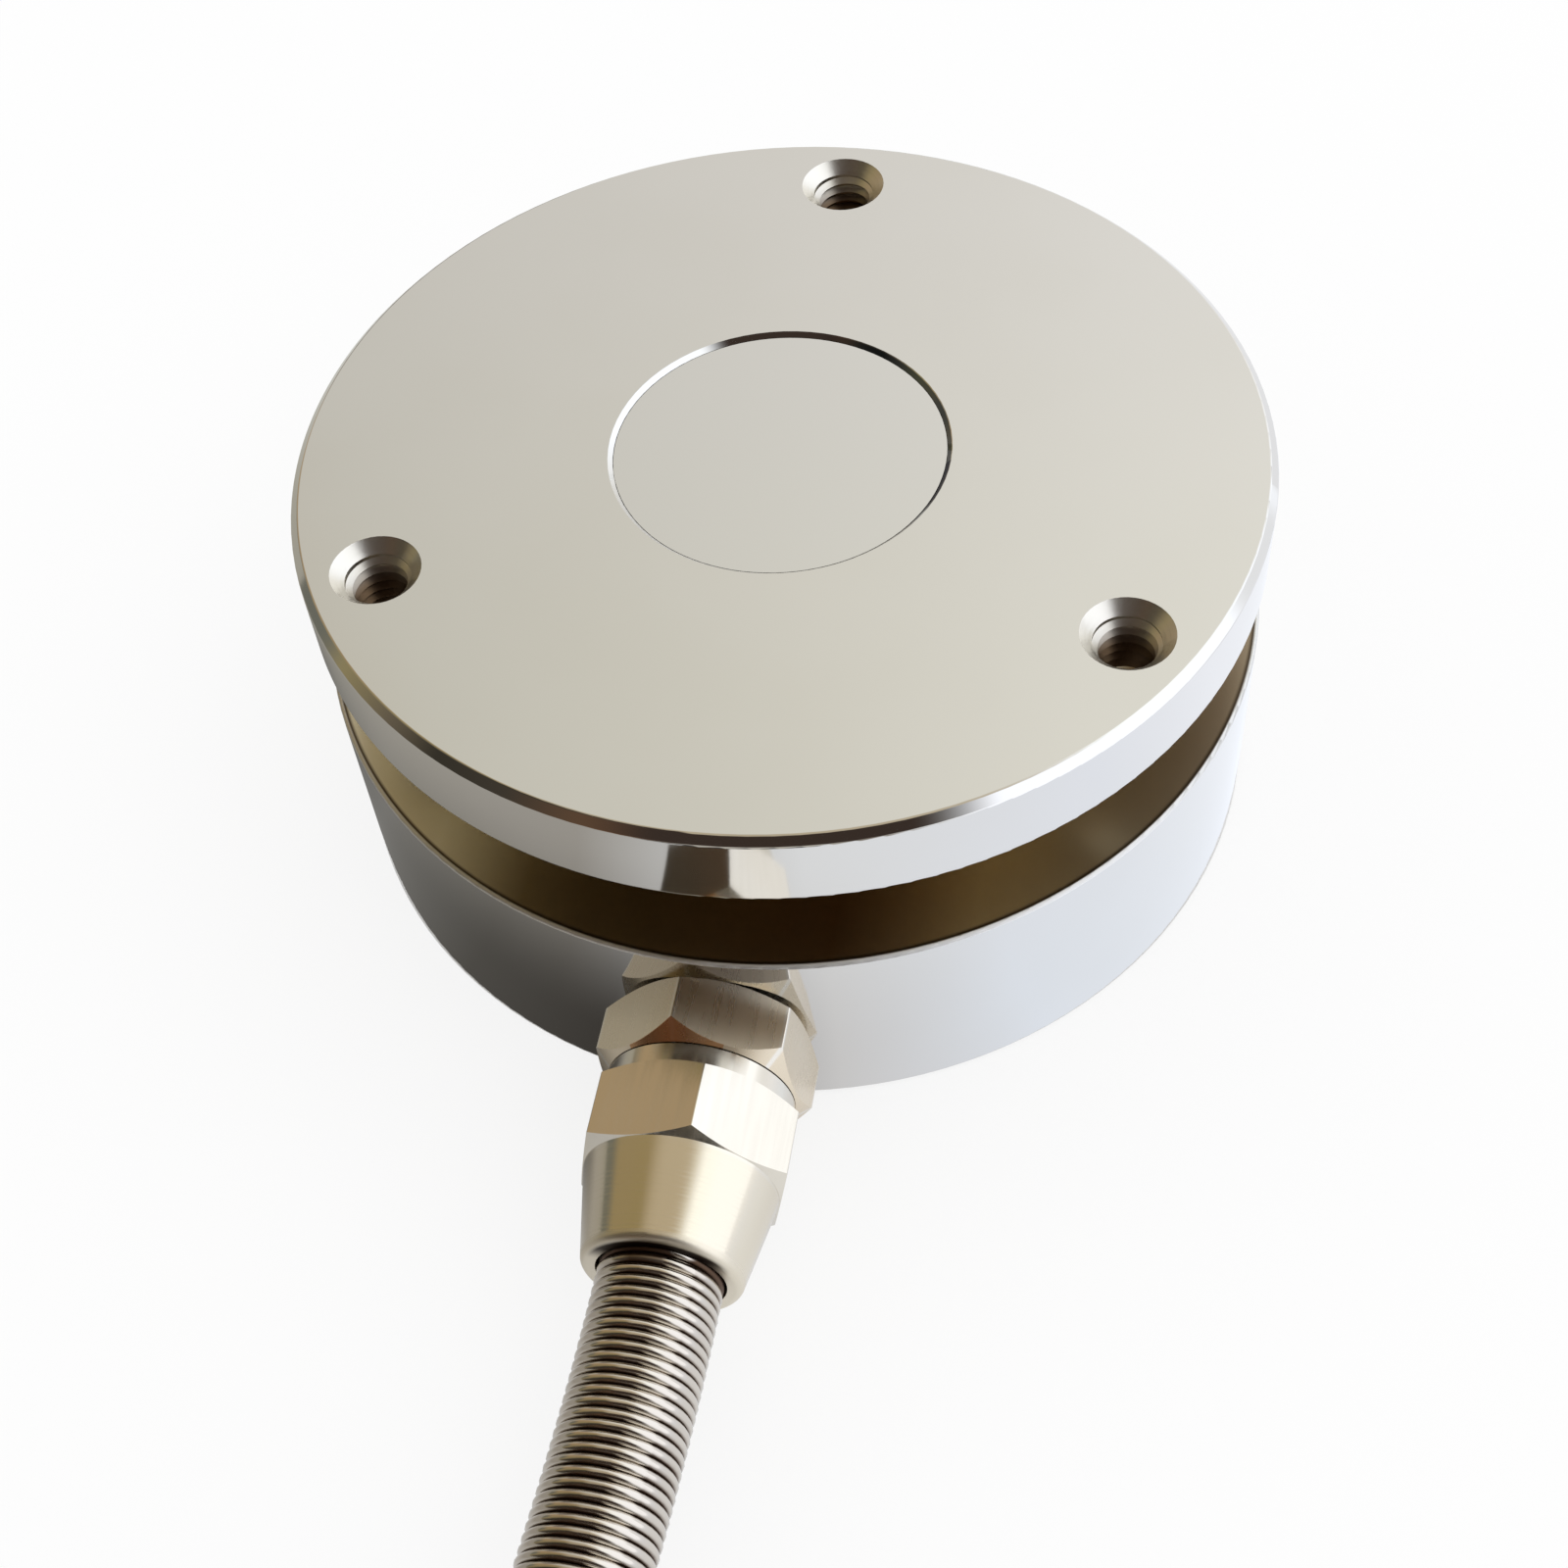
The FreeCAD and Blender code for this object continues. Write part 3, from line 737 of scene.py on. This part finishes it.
def makeTips():
    look = tipLook
    curve = newCurve("leadTips", look["strandRadius"], look["sides"])
    radius, height = leadLook["rest"]
    centre = Vector((*cableLook["coilCentre"], height))
    a = radians(leadLook["angles"][1])
    side = Vector((cos(a), sin(a), 0))
    along = Vector((-sin(a), cos(a), 0))
    up = Vector((0, 0, 1))
    for lead in range(len(leadLook["slots"])):
        start = centre + side * (radius + lead * leadLook["spacing"])
        for strand in range(look["strands"]):
            points = []
            for k in range(look["points"]):
                share = k / (look["points"] - 1)
                turn = tau * (strand / look["strands"] + look["twists"] * share)
                off = (side * cos(turn) + up * sin(turn)) * look["strandRadius"] * look["loose"]
                points.append(start + along * (look["length"] * share - look["sunk"]) + off)
            addLine(curve, "POLY", points)
    return pieceFromCurve("leadTips", curve, "copper_wire", tinnedCopper)


# Cable tie: a strap drawn tight round the coil's turns, its head outside and a ridged tail
tieLook = {
    "angle": -56.62,
    "strapRound": [  # turns that it goes round: from the coil's middle, and height
        (0.02236, 0.00305),
        (0.03156, 0.00305),
        (0.03377, 0.01225),
        (0.02832, 0.01685),
        (0.02372, 0.01685),
        (0.02010, 0.01277),
    ],
    "width": 0.004,
    "thick": 0.0008,
    "cornerStep": 8.0,  # degrees
    "headSide": 1,  # side of the strap that carries the head
    "head": (0.0062, 0.0034, 0.0056),  # across, out, along
    "tail": (0.0038, 0.0008, 0.0115),
    "ridge": (0.0028, 0.0003, 0.0004),
    "ridges": 12,
    "round": 0.0004,
    "tailSeat": 0.62,  # share of the head's depth where the tail comes out
    "soften": 0.2,  # share of a thin block's depth that its edges lose and a ridge is sunk
}


def strapCorners(look):
    turns = [Vector(turn) for turn in look["strapRound"]]
    sides = [(turns[(i + 1) % len(turns)] - turns[i]).normalized() for i in range(len(turns))]
    outward = [Vector((side.y, -side.x)) for side in sides]
    for i, turn in enumerate(turns):
        sweep = outward[i].angle_signed(outward[i - 1])
        count = max(1, round(abs(sweep) / radians(look["cornerStep"])))
        for k in range(count + 1):
            yield turn, outward[i - 1].slerp(outward[i], k / count)


def makeTie():
    look = tieLook
    a = radians(look["angle"])
    middle = Vector((*cableLook["coilCentre"], 0))
    outwards = Vector((cos(a), sin(a), 0))
    across = Vector((-sin(a), cos(a), 0))
    up = Vector((0, 0, 1))
    wire = cableLook["diameter"] / 2
    shape = bmesh.new()

    def place(flat, aside):
        return middle + outwards * flat.x + up * flat.y + across * aside

    half = look["width"] / 2
    rings = []
    for turn, way in strapCorners(look):
        inner = turn + way * wire
        outer = turn + way * (wire + look["thick"])
        corners = [(inner, -half), (outer, -half), (outer, half), (inner, half)]
        rings.append([shape.verts.new(place(flat, aside)) for flat, aside in corners])
    for i, ring in enumerate(rings):
        before = rings[i - 1]
        for j in range(4):
            shape.faces.new((before[j - 1], before[j], ring[j], ring[j - 1]))

    low = Vector(look["strapRound"][look["headSide"]])
    high = Vector(look["strapRound"][look["headSide"] + 1])
    along = (high - low).normalized()
    out = Vector((along.y, -along.x))
    seat = (low + high) / 2 + out * wire

    def block(size, outBy, alongBy, edge):
        corners = bmesh.ops.create_cube(shape, size=1)["verts"]
        for v in corners:
            flat = seat + out * (outBy + v.co.y * size[1]) + along * (alongBy + v.co.z * size[2])
            v.co = place(flat, v.co.x * size[0])
        edges = list({e for v in corners for e in v.link_edges})
        bmesh.ops.bevel(shape, geom=edges, offset=edge, segments=2, profile=0.5, affect="EDGES")

    head, tail, ridge = look["head"], look["tail"], look["ridge"]
    soft = look["soften"]
    block(head, head[1] / 2, 0, look["round"])
    tailOut = head[1] * look["tailSeat"]
    tailStart = head[2] / 2 - look["round"]
    block(tail, tailOut, tailStart + tail[2] / 2, tail[1] * soft)
    ridgeOut = tailOut + (tail[1] + ridge[1]) / 2 - ridge[1] * soft
    for k in range(look["ridges"]):
        block(ridge, ridgeOut, tailStart + tail[2] * (k + 1) / (look["ridges"] + 1), ridge[1] * soft)
    bmesh.ops.recalc_face_normals(shape, faces=shape.faces)
    mesh = newMesh("cableTie", shape)
    mesh.polygons.foreach_set("use_smooth", [True] * len(mesh.polygons))
    mesh.set_sharp_from_angle(angle=radians(look["cornerStep"] * 2))
    tie = addPiece("cableTie", mesh, "tie_nylon", finish["tie_nylon"])
    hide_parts("coil_tie")
    return tie


cable = layCable()
leads = [makeLead(index) for index in range(len(leadLook["slots"]))]
leadTips = makeTips()
tie = makeTie()
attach(cable, "root")
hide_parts("cable", "cable_coil")
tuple(cableLook["leaves"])
print("cable: coil, tie, leads and bare tips laid")


# Geometry Nodes helpers
sharpEdge = radians(40)


def startTree(name, sizes):
    tree = bpy.data.node_groups.new(name, "GeometryNodeTree")
    for title, size in sizes.items():
        kind = "NodeSocketInt" if isinstance(size, int) else "NodeSocketFloat"
        tree.interface.new_socket(title, in_out="INPUT", socket_type=kind)
    tree.interface.new_socket("Geometry", in_out="OUTPUT", socket_type="NodeSocketGeometry")
    return tree, node(tree, "NodeGroupInput").outputs, node(tree, "NodeGroupOutput").inputs["Geometry"]


def endTree(tree, geometry, material, result):
    edgeAngle = node(tree, "GeometryNodeInputMeshEdgeAngle").outputs["Unsigned Angle"]
    soft = node(tree, "FunctionNodeCompare", {0: edgeAngle, 1: sharpEdge}, operation="LESS_THAN")
    smooth = node(tree, "GeometryNodeSetShadeSmooth", {
        "Geometry": geometry, "Shade Smooth": soft.outputs[0]}, domain="EDGE")
    real = node(tree, "GeometryNodeRealizeInstances", {"Geometry": smooth.outputs[0]})
    dressed = node(tree, "GeometryNodeSetMaterial", {"Geometry": real.outputs[0], "Material": material})
    tree.links.new(dressed.outputs[0], result)


def growPiece(name, tree, sizes, slot):
    holder = show(name + "Holder", bpy.data.meshes.new(name + "Holder"))
    modifier = holder.modifiers.new(name, "NODES")
    modifier.node_group = tree
    for item in tree.interface.items_tree:
        if item.in_out == "INPUT":
            modifier[item.identifier] = sizes[item.name]
    mesh = takeMesh(name, holder)
    holder.modifiers.remove(modifier)
    bpy.data.objects.remove(holder)
    print(name + ":", len(mesh.polygons), "faces")
    return addPiece(name, mesh, slot)


def storeOnPoints(tree, geometry, name, value):
    stored = node(tree, "GeometryNodeStoreNamedAttribute", {
        "Geometry": geometry, "Name": name, "Value": value}, data_type="FLOAT", domain="POINT")
    return stored.outputs[0]


# Spring guard: a close-wound wire, its first turns wider and held in the nut, bent a little to the left
springLook = {
    "Wire": 0.0003175,  # radius
    "Radius": 0.0032825,  # to the wire's centre
    "Seat Radius": 0.00398,
    "Seat Turns": 2.0,
    "Seat Fade": 0.5,  # turns in which it narrows
    "Pitch": 0.000635,
    "Turns": 37.0,
    "Start": 0.0411175,
    "Height": glandHeight,
    "Bend": 2.2,
    "Bend From": 0.0455,
    "Points": 40,  # to a turn
    "Sides": 12,
}


def makeSpring():
    tree, given, result = startTree("woundSpring", springLook)
    tall = calc(tree, "MULTIPLY", given["Pitch"], given["Turns"])
    coil = node(tree, "GeometryNodeCurveSpiral", {
        "Resolution": given["Points"], "Rotations": given["Turns"], "Start Radius": given["Radius"],
        "End Radius": given["Radius"], "Height": tall})
    ring = node(tree, "GeometryNodeCurvePrimitiveCircle", {
        "Resolution": given["Sides"], "Radius": given["Wire"]})
    wire = node(tree, "GeometryNodeCurveToMesh", {
        "Curve": coil.outputs[0], "Profile Curve": ring.outputs[0], "Fill Caps": True})
    split = axes(tree, node(tree, "GeometryNodeInputPosition").outputs[0])
    beyond = calc(tree, "SUBTRACT", fromAxis(tree, split["X"], split["Y"]), given["Radius"])
    outward = calc(tree, "DIVIDE", beyond, given["Wire"])
    side = calc(tree, "DIVIDE", split["X"], calc(tree, "ADD", given["Radius"], given["Wire"]))
    marked = storeOnPoints(tree, wire.outputs[0], "wireOut", outward)
    marked = storeOnPoints(tree, marked, "wireSide", side)
    seatEnd = calc(tree, "MULTIPLY", given["Pitch"], given["Seat Turns"])
    seatFade = calc(tree, "MULTIPLY_ADD", given["Pitch"], given["Seat Fade"], seatEnd)
    wider = calc(tree, "SUBTRACT", calc(tree, "DIVIDE", given["Seat Radius"], given["Radius"]), 1.0)
    share = calc(tree, "MULTIPLY", wider, ease(tree, split["Z"], seatEnd, seatFade, 1.0, 0.0))
    distance = calc(tree, "ADD", split["Z"], given["Start"])
    past = calc(tree, "MAXIMUM", calc(tree, "SUBTRACT", distance, given["Bend From"]), 0.0)
    sideways = calc(tree, "MULTIPLY", given["Bend"], calc(tree, "MULTIPLY", past, past))
    push = vector(tree, X=calc(tree, "SUBTRACT", calc(tree, "MULTIPLY", split["X"], share), sideways),
                  Y=calc(tree, "MULTIPLY", split["Y"], share))
    moved = node(tree, "GeometryNodeSetPosition", {"Geometry": marked, "Offset": push})
    start = vector(tree, Y=calc(tree, "MULTIPLY", given["Start"], -1.0), Z=given["Height"])
    laid = node(tree, "GeometryNodeTransform", {
        "Geometry": moved.outputs[0], "Translation": start, "Rotation": (pi / 2, 0, 0)})
    endTree(tree, laid.outputs[0], finish["spring_steel"], result)
    return growPiece("springGuard", tree, springLook, "spring_steel")


spring = makeSpring()
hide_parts("strain_relief_spring")

# Thread ridges in the tapped holes: they follow the countersink's cone at the mouth
threadLook = {
    "Crest": 0.00164,  # radius
    "Sunk": 0.00002,
    "Clear": 0.00006,  # keeps the ridge under the cone until it runs out of it
    "Pitch": 0.0007,
    "Skip": 0.00034,  # depth of the first ridge
    "Widen": 1.39,  # widens a ridge's foot
    "Points": 36,  # to a turn
}
threadRuns = {
    "flangeThreads": boltSizes("flange_bolts") | {
        "Mouth": 0.00275,
        "Level": cadBox[1][2],
        "Flip": pi,
        "Deep": 0.0046,
    },
    "baseThreads": boltSizes("base_bolts") | {
        "Mouth": 0.0024,
        "Level": cadBox[0][2],
        "Flip": 0.0,
        "Deep": 0.0068,
    },
}


def makeThreads():
    tree, given, result = startTree("tappedThread", threadLook | threadRuns["flangeThreads"])
    wall = calc(tree, "ADD", calc(tree, "SUBTRACT", given["Root"], given["Crest"]), given["Sunk"])
    ridge = calc(tree, "DIVIDE", wall, 1.5)  # circumradius of the three-cornered ridge
    middle = calc(tree, "ADD", given["Crest"], ridge)
    turns = calc(tree, "DIVIDE", given["Deep"], given["Pitch"])
    coil = node(tree, "GeometryNodeCurveSpiral", {
        "Resolution": given["Points"], "Rotations": turns, "Start Radius": middle, "End Radius": middle,
        "Height": given["Deep"]})
    split = axes(tree, node(tree, "GeometryNodeInputPosition").outputs[0])
    depth = calc(tree, "ADD", split["Z"], given["Skip"])
    cone = calc(tree, "SUBTRACT", calc(tree, "ADD", given["Mouth"], given["Clear"]), depth)
    short = calc(tree, "MAXIMUM", calc(tree, "SUBTRACT", cone, given["Crest"]), 0.0)
    share = calc(tree, "DIVIDE", short, middle)
    push = vector(tree, X=calc(tree, "MULTIPLY", split["X"], share),
                  Y=calc(tree, "MULTIPLY", split["Y"], share), Z=given["Skip"])
    moved = node(tree, "GeometryNodeSetPosition", {"Geometry": coil.outputs[0], "Offset": push})
    upright = node(tree, "GeometryNodeSetCurveNormal", {"Curve": moved.outputs[0]}, mode="Z_UP")
    corner = node(tree, "GeometryNodeCurvePrimitiveCircle", {"Resolution": 3, "Radius": ridge})
    inward = node(tree, "GeometryNodeTransform", {
        "Geometry": corner.outputs[0], "Scale": vector(tree, X=1.0, Y=given["Widen"], Z=1.0)})
    thread = node(tree, "GeometryNodeCurveToMesh", {
        "Curve": upright.outputs[0], "Profile Curve": inward.outputs[0], "Fill Caps": True})
    stood = node(tree, "GeometryNodeTransform", {
        "Geometry": thread.outputs[0], "Rotation": vector(tree, X=given["Flip"])})
    circle = node(tree, "GeometryNodeMeshCircle", {"Vertices": given["Holes"], "Radius": given["Circle"]})
    holes = node(tree, "GeometryNodeTransform", {
        "Geometry": circle.outputs[0], "Translation": vector(tree, Z=given["Level"]),
        "Rotation": vector(tree, Z=given["First"])})
    cut = node(tree, "GeometryNodeInstanceOnPoints", {
        "Points": holes.outputs[0], "Instance": stood.outputs[0]})
    endTree(tree, cut.outputs[0], finish["plated_steel"], result)
    for name, run in threadRuns.items():
        growPiece(name, tree, threadLook | run, "plated_steel")


makeThreads()

# Studio: pale table, even sky, one soft lamp on the right
studio = {
    "table": (0.96, 0.96, 0.957),
    "tableRoughness": 0.9,
    "tableGlow": 0.8,  # share of plain white that the camera sees
    "tableHalf": 3.0,
    "sky": (0.94, 0.94, 0.945),
    "lampPlace": (0.55, -0.10, 0.65),
    "lampSize": 0.7,
    "lampPower": 0.9,
}


def buildStudio():
    scene.view_settings.view_transform = "Standard"
    world = bpy.data.worlds.new("studioSky")
    world.use_nodes = True
    world.node_tree.nodes["Background"].inputs["Color"].default_value = (*studio["sky"], 1)
    world.cycles.sampling_method = "NONE"
    scene.world = world
    shape = bmesh.new()
    bmesh.ops.create_grid(shape, x_segments=1, y_segments=1, size=studio["tableHalf"])
    table = show("paleTable", newMesh("paleTable", shape))
    material, tree, shader, _ = startMaterial("paleTable", studio["table"], studio["tableRoughness"])
    shader.inputs["Specular IOR Level"].default_value = 0
    seen = node(tree, "ShaderNodeLightPath").outputs["Is Camera Ray"]
    white = node(tree, "ShaderNodeEmission").outputs[0]
    glow = calc(tree, "MULTIPLY", seen, studio["tableGlow"])
    shown = node(tree, "ShaderNodeMixShader", {0: glow, 1: shader.outputs[0], 2: white})
    tree.links.new(shown.outputs[0], tree.nodes["Material Output"].inputs["Surface"])
    table.data.materials.append(material)
    table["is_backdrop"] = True
    light = bpy.data.lights.new("softLamp", "AREA")
    light.size = studio["lampSize"]
    light.energy = studio["lampPower"]
    lamp = show("softLamp", light)
    lamp.location = studio["lampPlace"]
    lamp.rotation_euler = (-Vector(studio["lampPlace"])).to_track_quat("-Z", "Y").to_euler()
    lamp.visible_glossy = False


buildStudio()

# Glowing cards that only the polished metal mirrors, painted with the room's reflection and the cell's
# shadow on the table: round the cell by azimuth, 0 at the right and 90 behind
cards = {
    "reach": 1.0,
    "round": [
        (-180, (0.34, 0.285, 0.145)),
        (-166, (0.16, 0.13, 0.09)),
        (-155, (0.045, 0.04, 0.03)),
        (-140, (0.06, 0.05, 0.038)),
        (-114, (0.18, 0.095, 0.05)),
        (-85, (0.05, 0.033, 0.022)),
        (-70, (0.10, 0.085, 0.07)),
        (-62, (0.32, 0.28, 0.24)),
        (-49, (0.90, 0.92, 0.95)),
        (-38, (1.34, 1.38, 1.50)),
        (45, (1.38, 1.44, 1.56)),
        (72, (1.05, 1.04, 1.02)),
        (104, (0.82, 0.80, 0.76)),
        (120, (0.71, 0.69, 0.64)),
        (146, (0.44, 0.33, 0.20)),
        (166, (0.37, 0.28, 0.16)),
        (180, (0.34, 0.285, 0.145)),
    ],
    "overhead": (1.0, 1.0, 0.95),
    "overheadBand": (0.6, 0.8),  # share of the dome's height
    "zenith": (0.57, 0.49, 0.36),
    "zenithBand": (0.83, 0.985),
    "patches": [  # way to the middle, colour, and the angles where it begins to show and covers all
        ((0.08, -0.66, 0.75), (0.05, 0.035, 0.028), 38, 23),  # dark, behind the camera
        ((-0.965, 0.25, 0.03), (0.18, 0.18, 0.15), 19, 8),  # low on the left
        ((0.05, -0.99, 0.14), (0.52, 0.49, 0.44), 26, 12),  # pale, low behind the camera
        ((-0.55, 0.80, 0.25), (0.22, 0.19, 0.175), 16, 8),  # dim, behind on the left
        ((0.88, 0.47, 0.02), (1.0, 1.02, 1.07), 17, 9),  # low on the right
    ],
    # near the cell: painted shadow on the left and front-left, painted light on the right
    "tableNear": [
        (-180, (0.13, 0.13, 0.125)),
        (-155, (0.20, 0.195, 0.183)),
        (-128, (0.09, 0.085, 0.077)),
        (-106, (0.055, 0.05, 0.045)),
        (-76, (0.75, 0.75, 0.77)),
        (-50, (0.93, 0.99, 1.10)),
        (0, (1.01, 1.05, 1.13)),
        (72, (0.90, 0.90, 0.90)),
        (126, (0.70, 0.70, 0.68)),
        (180, (0.13, 0.13, 0.125)),
    ],
    # farther out: the painted shadow on the left fades
    "tableFar": [
        (-180, (0.38, 0.36, 0.31)),
        (-160, (0.40, 0.38, 0.34)),
        (-115, (0.40, 0.38, 0.35)),
        (-79, (0.90, 0.92, 0.96)),
        (-29, (0.96, 1.0, 1.10)),
        (0, (1.05, 1.08, 1.17)),
        (90, (0.90, 0.90, 0.90)),
        (138, (0.68, 0.68, 0.64)),
        (156, (0.46, 0.44, 0.38)),
        (180, (0.38, 0.36, 0.31)),
    ],
    "tableEdge": (0.032, 0.048),  # where the near colours fade into the far ones
    "tableHole": 0.0302,
    "tableLift": 0.00015,
    "domeSegments": (96, 48),
    "domeFoot": -0.001,
    "tableSegments": 128,
}


def azimuthRamp(tree, split, stops):
    share = calc(tree, "ADD", calc(tree, "DIVIDE", calc(tree, "ARCTAN2", split["Y"], split["X"]), tau), 0.5)
    return colourRamp(tree, share, [((azimuth + 180) / 360, colour) for azimuth, colour in stops])


def cardMaterial(name, paint):
    material = bpy.data.materials.new(name)
    material.use_nodes = True
    tree = material.node_tree
    tree.nodes.remove(tree.nodes["Principled BSDF"])
    place = node(tree, "ShaderNodeTexCoord").outputs["Object"]
    glow = node(tree, "ShaderNodeEmission", {"Color": paint(tree, axes(tree, place))})
    tree.links.new(glow.outputs[0], tree.nodes["Material Output"].inputs["Surface"])
    material.cycles.emission_sampling = "NONE"
    return material


def paintDome(tree, split):
    height = calc(tree, "DIVIDE", split["Z"], cards["reach"])
    colour = azimuthRamp(tree, split, cards["round"])
    tinted = blendColour(tree, 1.0, colour, cards["overhead"], "MULTIPLY")
    colour = blendColour(tree, ease(tree, height, *cards["overheadBand"]), colour, tinted)
    colour = blendColour(tree, ease(tree, height, *cards["zenithBand"]), colour, cards["zenith"])
    for way, patch, shows, covers in cards["patches"]:
        way = Vector(way).normalized() / cards["reach"]
        reached = calc(tree, "MULTIPLY", split["X"], way.x)
        reached = calc(tree, "MULTIPLY_ADD", split["Y"], way.y, reached)
        reached = calc(tree, "MULTIPLY_ADD", split["Z"], way.z, reached)
        cover = ease(tree, reached, cos(radians(shows)), cos(radians(covers)))
        colour = blendColour(tree, cover, colour, patch)
    return colour


def paintTable(tree, split):
    radius = fromAxis(tree, split["X"], split["Y"])
    near = azimuthRamp(tree, split, cards["tableNear"])
    far = azimuthRamp(tree, split, cards["tableFar"])
    return blendColour(tree, ease(tree, radius, *cards["tableEdge"]), near, far)


def addCard(name, shape, paint):
    card = show(name, newMesh(name, shape))
    card.data.materials.append(cardMaterial(name, paint))
    for ray in ("camera", "diffuse", "transmission", "volume_scatter", "shadow"):
        setattr(card, "visible_" + ray, False)
    card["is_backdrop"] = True


def standCards():
    dome = bmesh.new()
    around, upwards = cards["domeSegments"]
    bmesh.ops.create_uvsphere(dome, u_segments=around, v_segments=upwards, radius=cards["reach"])
    low = [v for v in dome.verts if v.co.z < cards["domeFoot"]]
    bmesh.ops.delete(dome, geom=low, context="VERTS")
    addCard("cardDome", dome, paintDome)
    ring = bmesh.new()
    for radius in (cards["tableHole"], cards["reach"]):
        bmesh.ops.create_circle(ring, segments=cards["tableSegments"], radius=radius)
    bmesh.ops.bridge_loops(ring, edges=ring.edges[:])
    for v in ring.verts:
        v.co.z = cards["tableLift"]
    addCard("cardTable", ring, paintTable)


standCards()
print("studio: table, sky, lamp and cards")

boxes = {"cad": cadBox, "visual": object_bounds()}
{name: [list(corner) for corner in box] for name, box in boxes.items()}
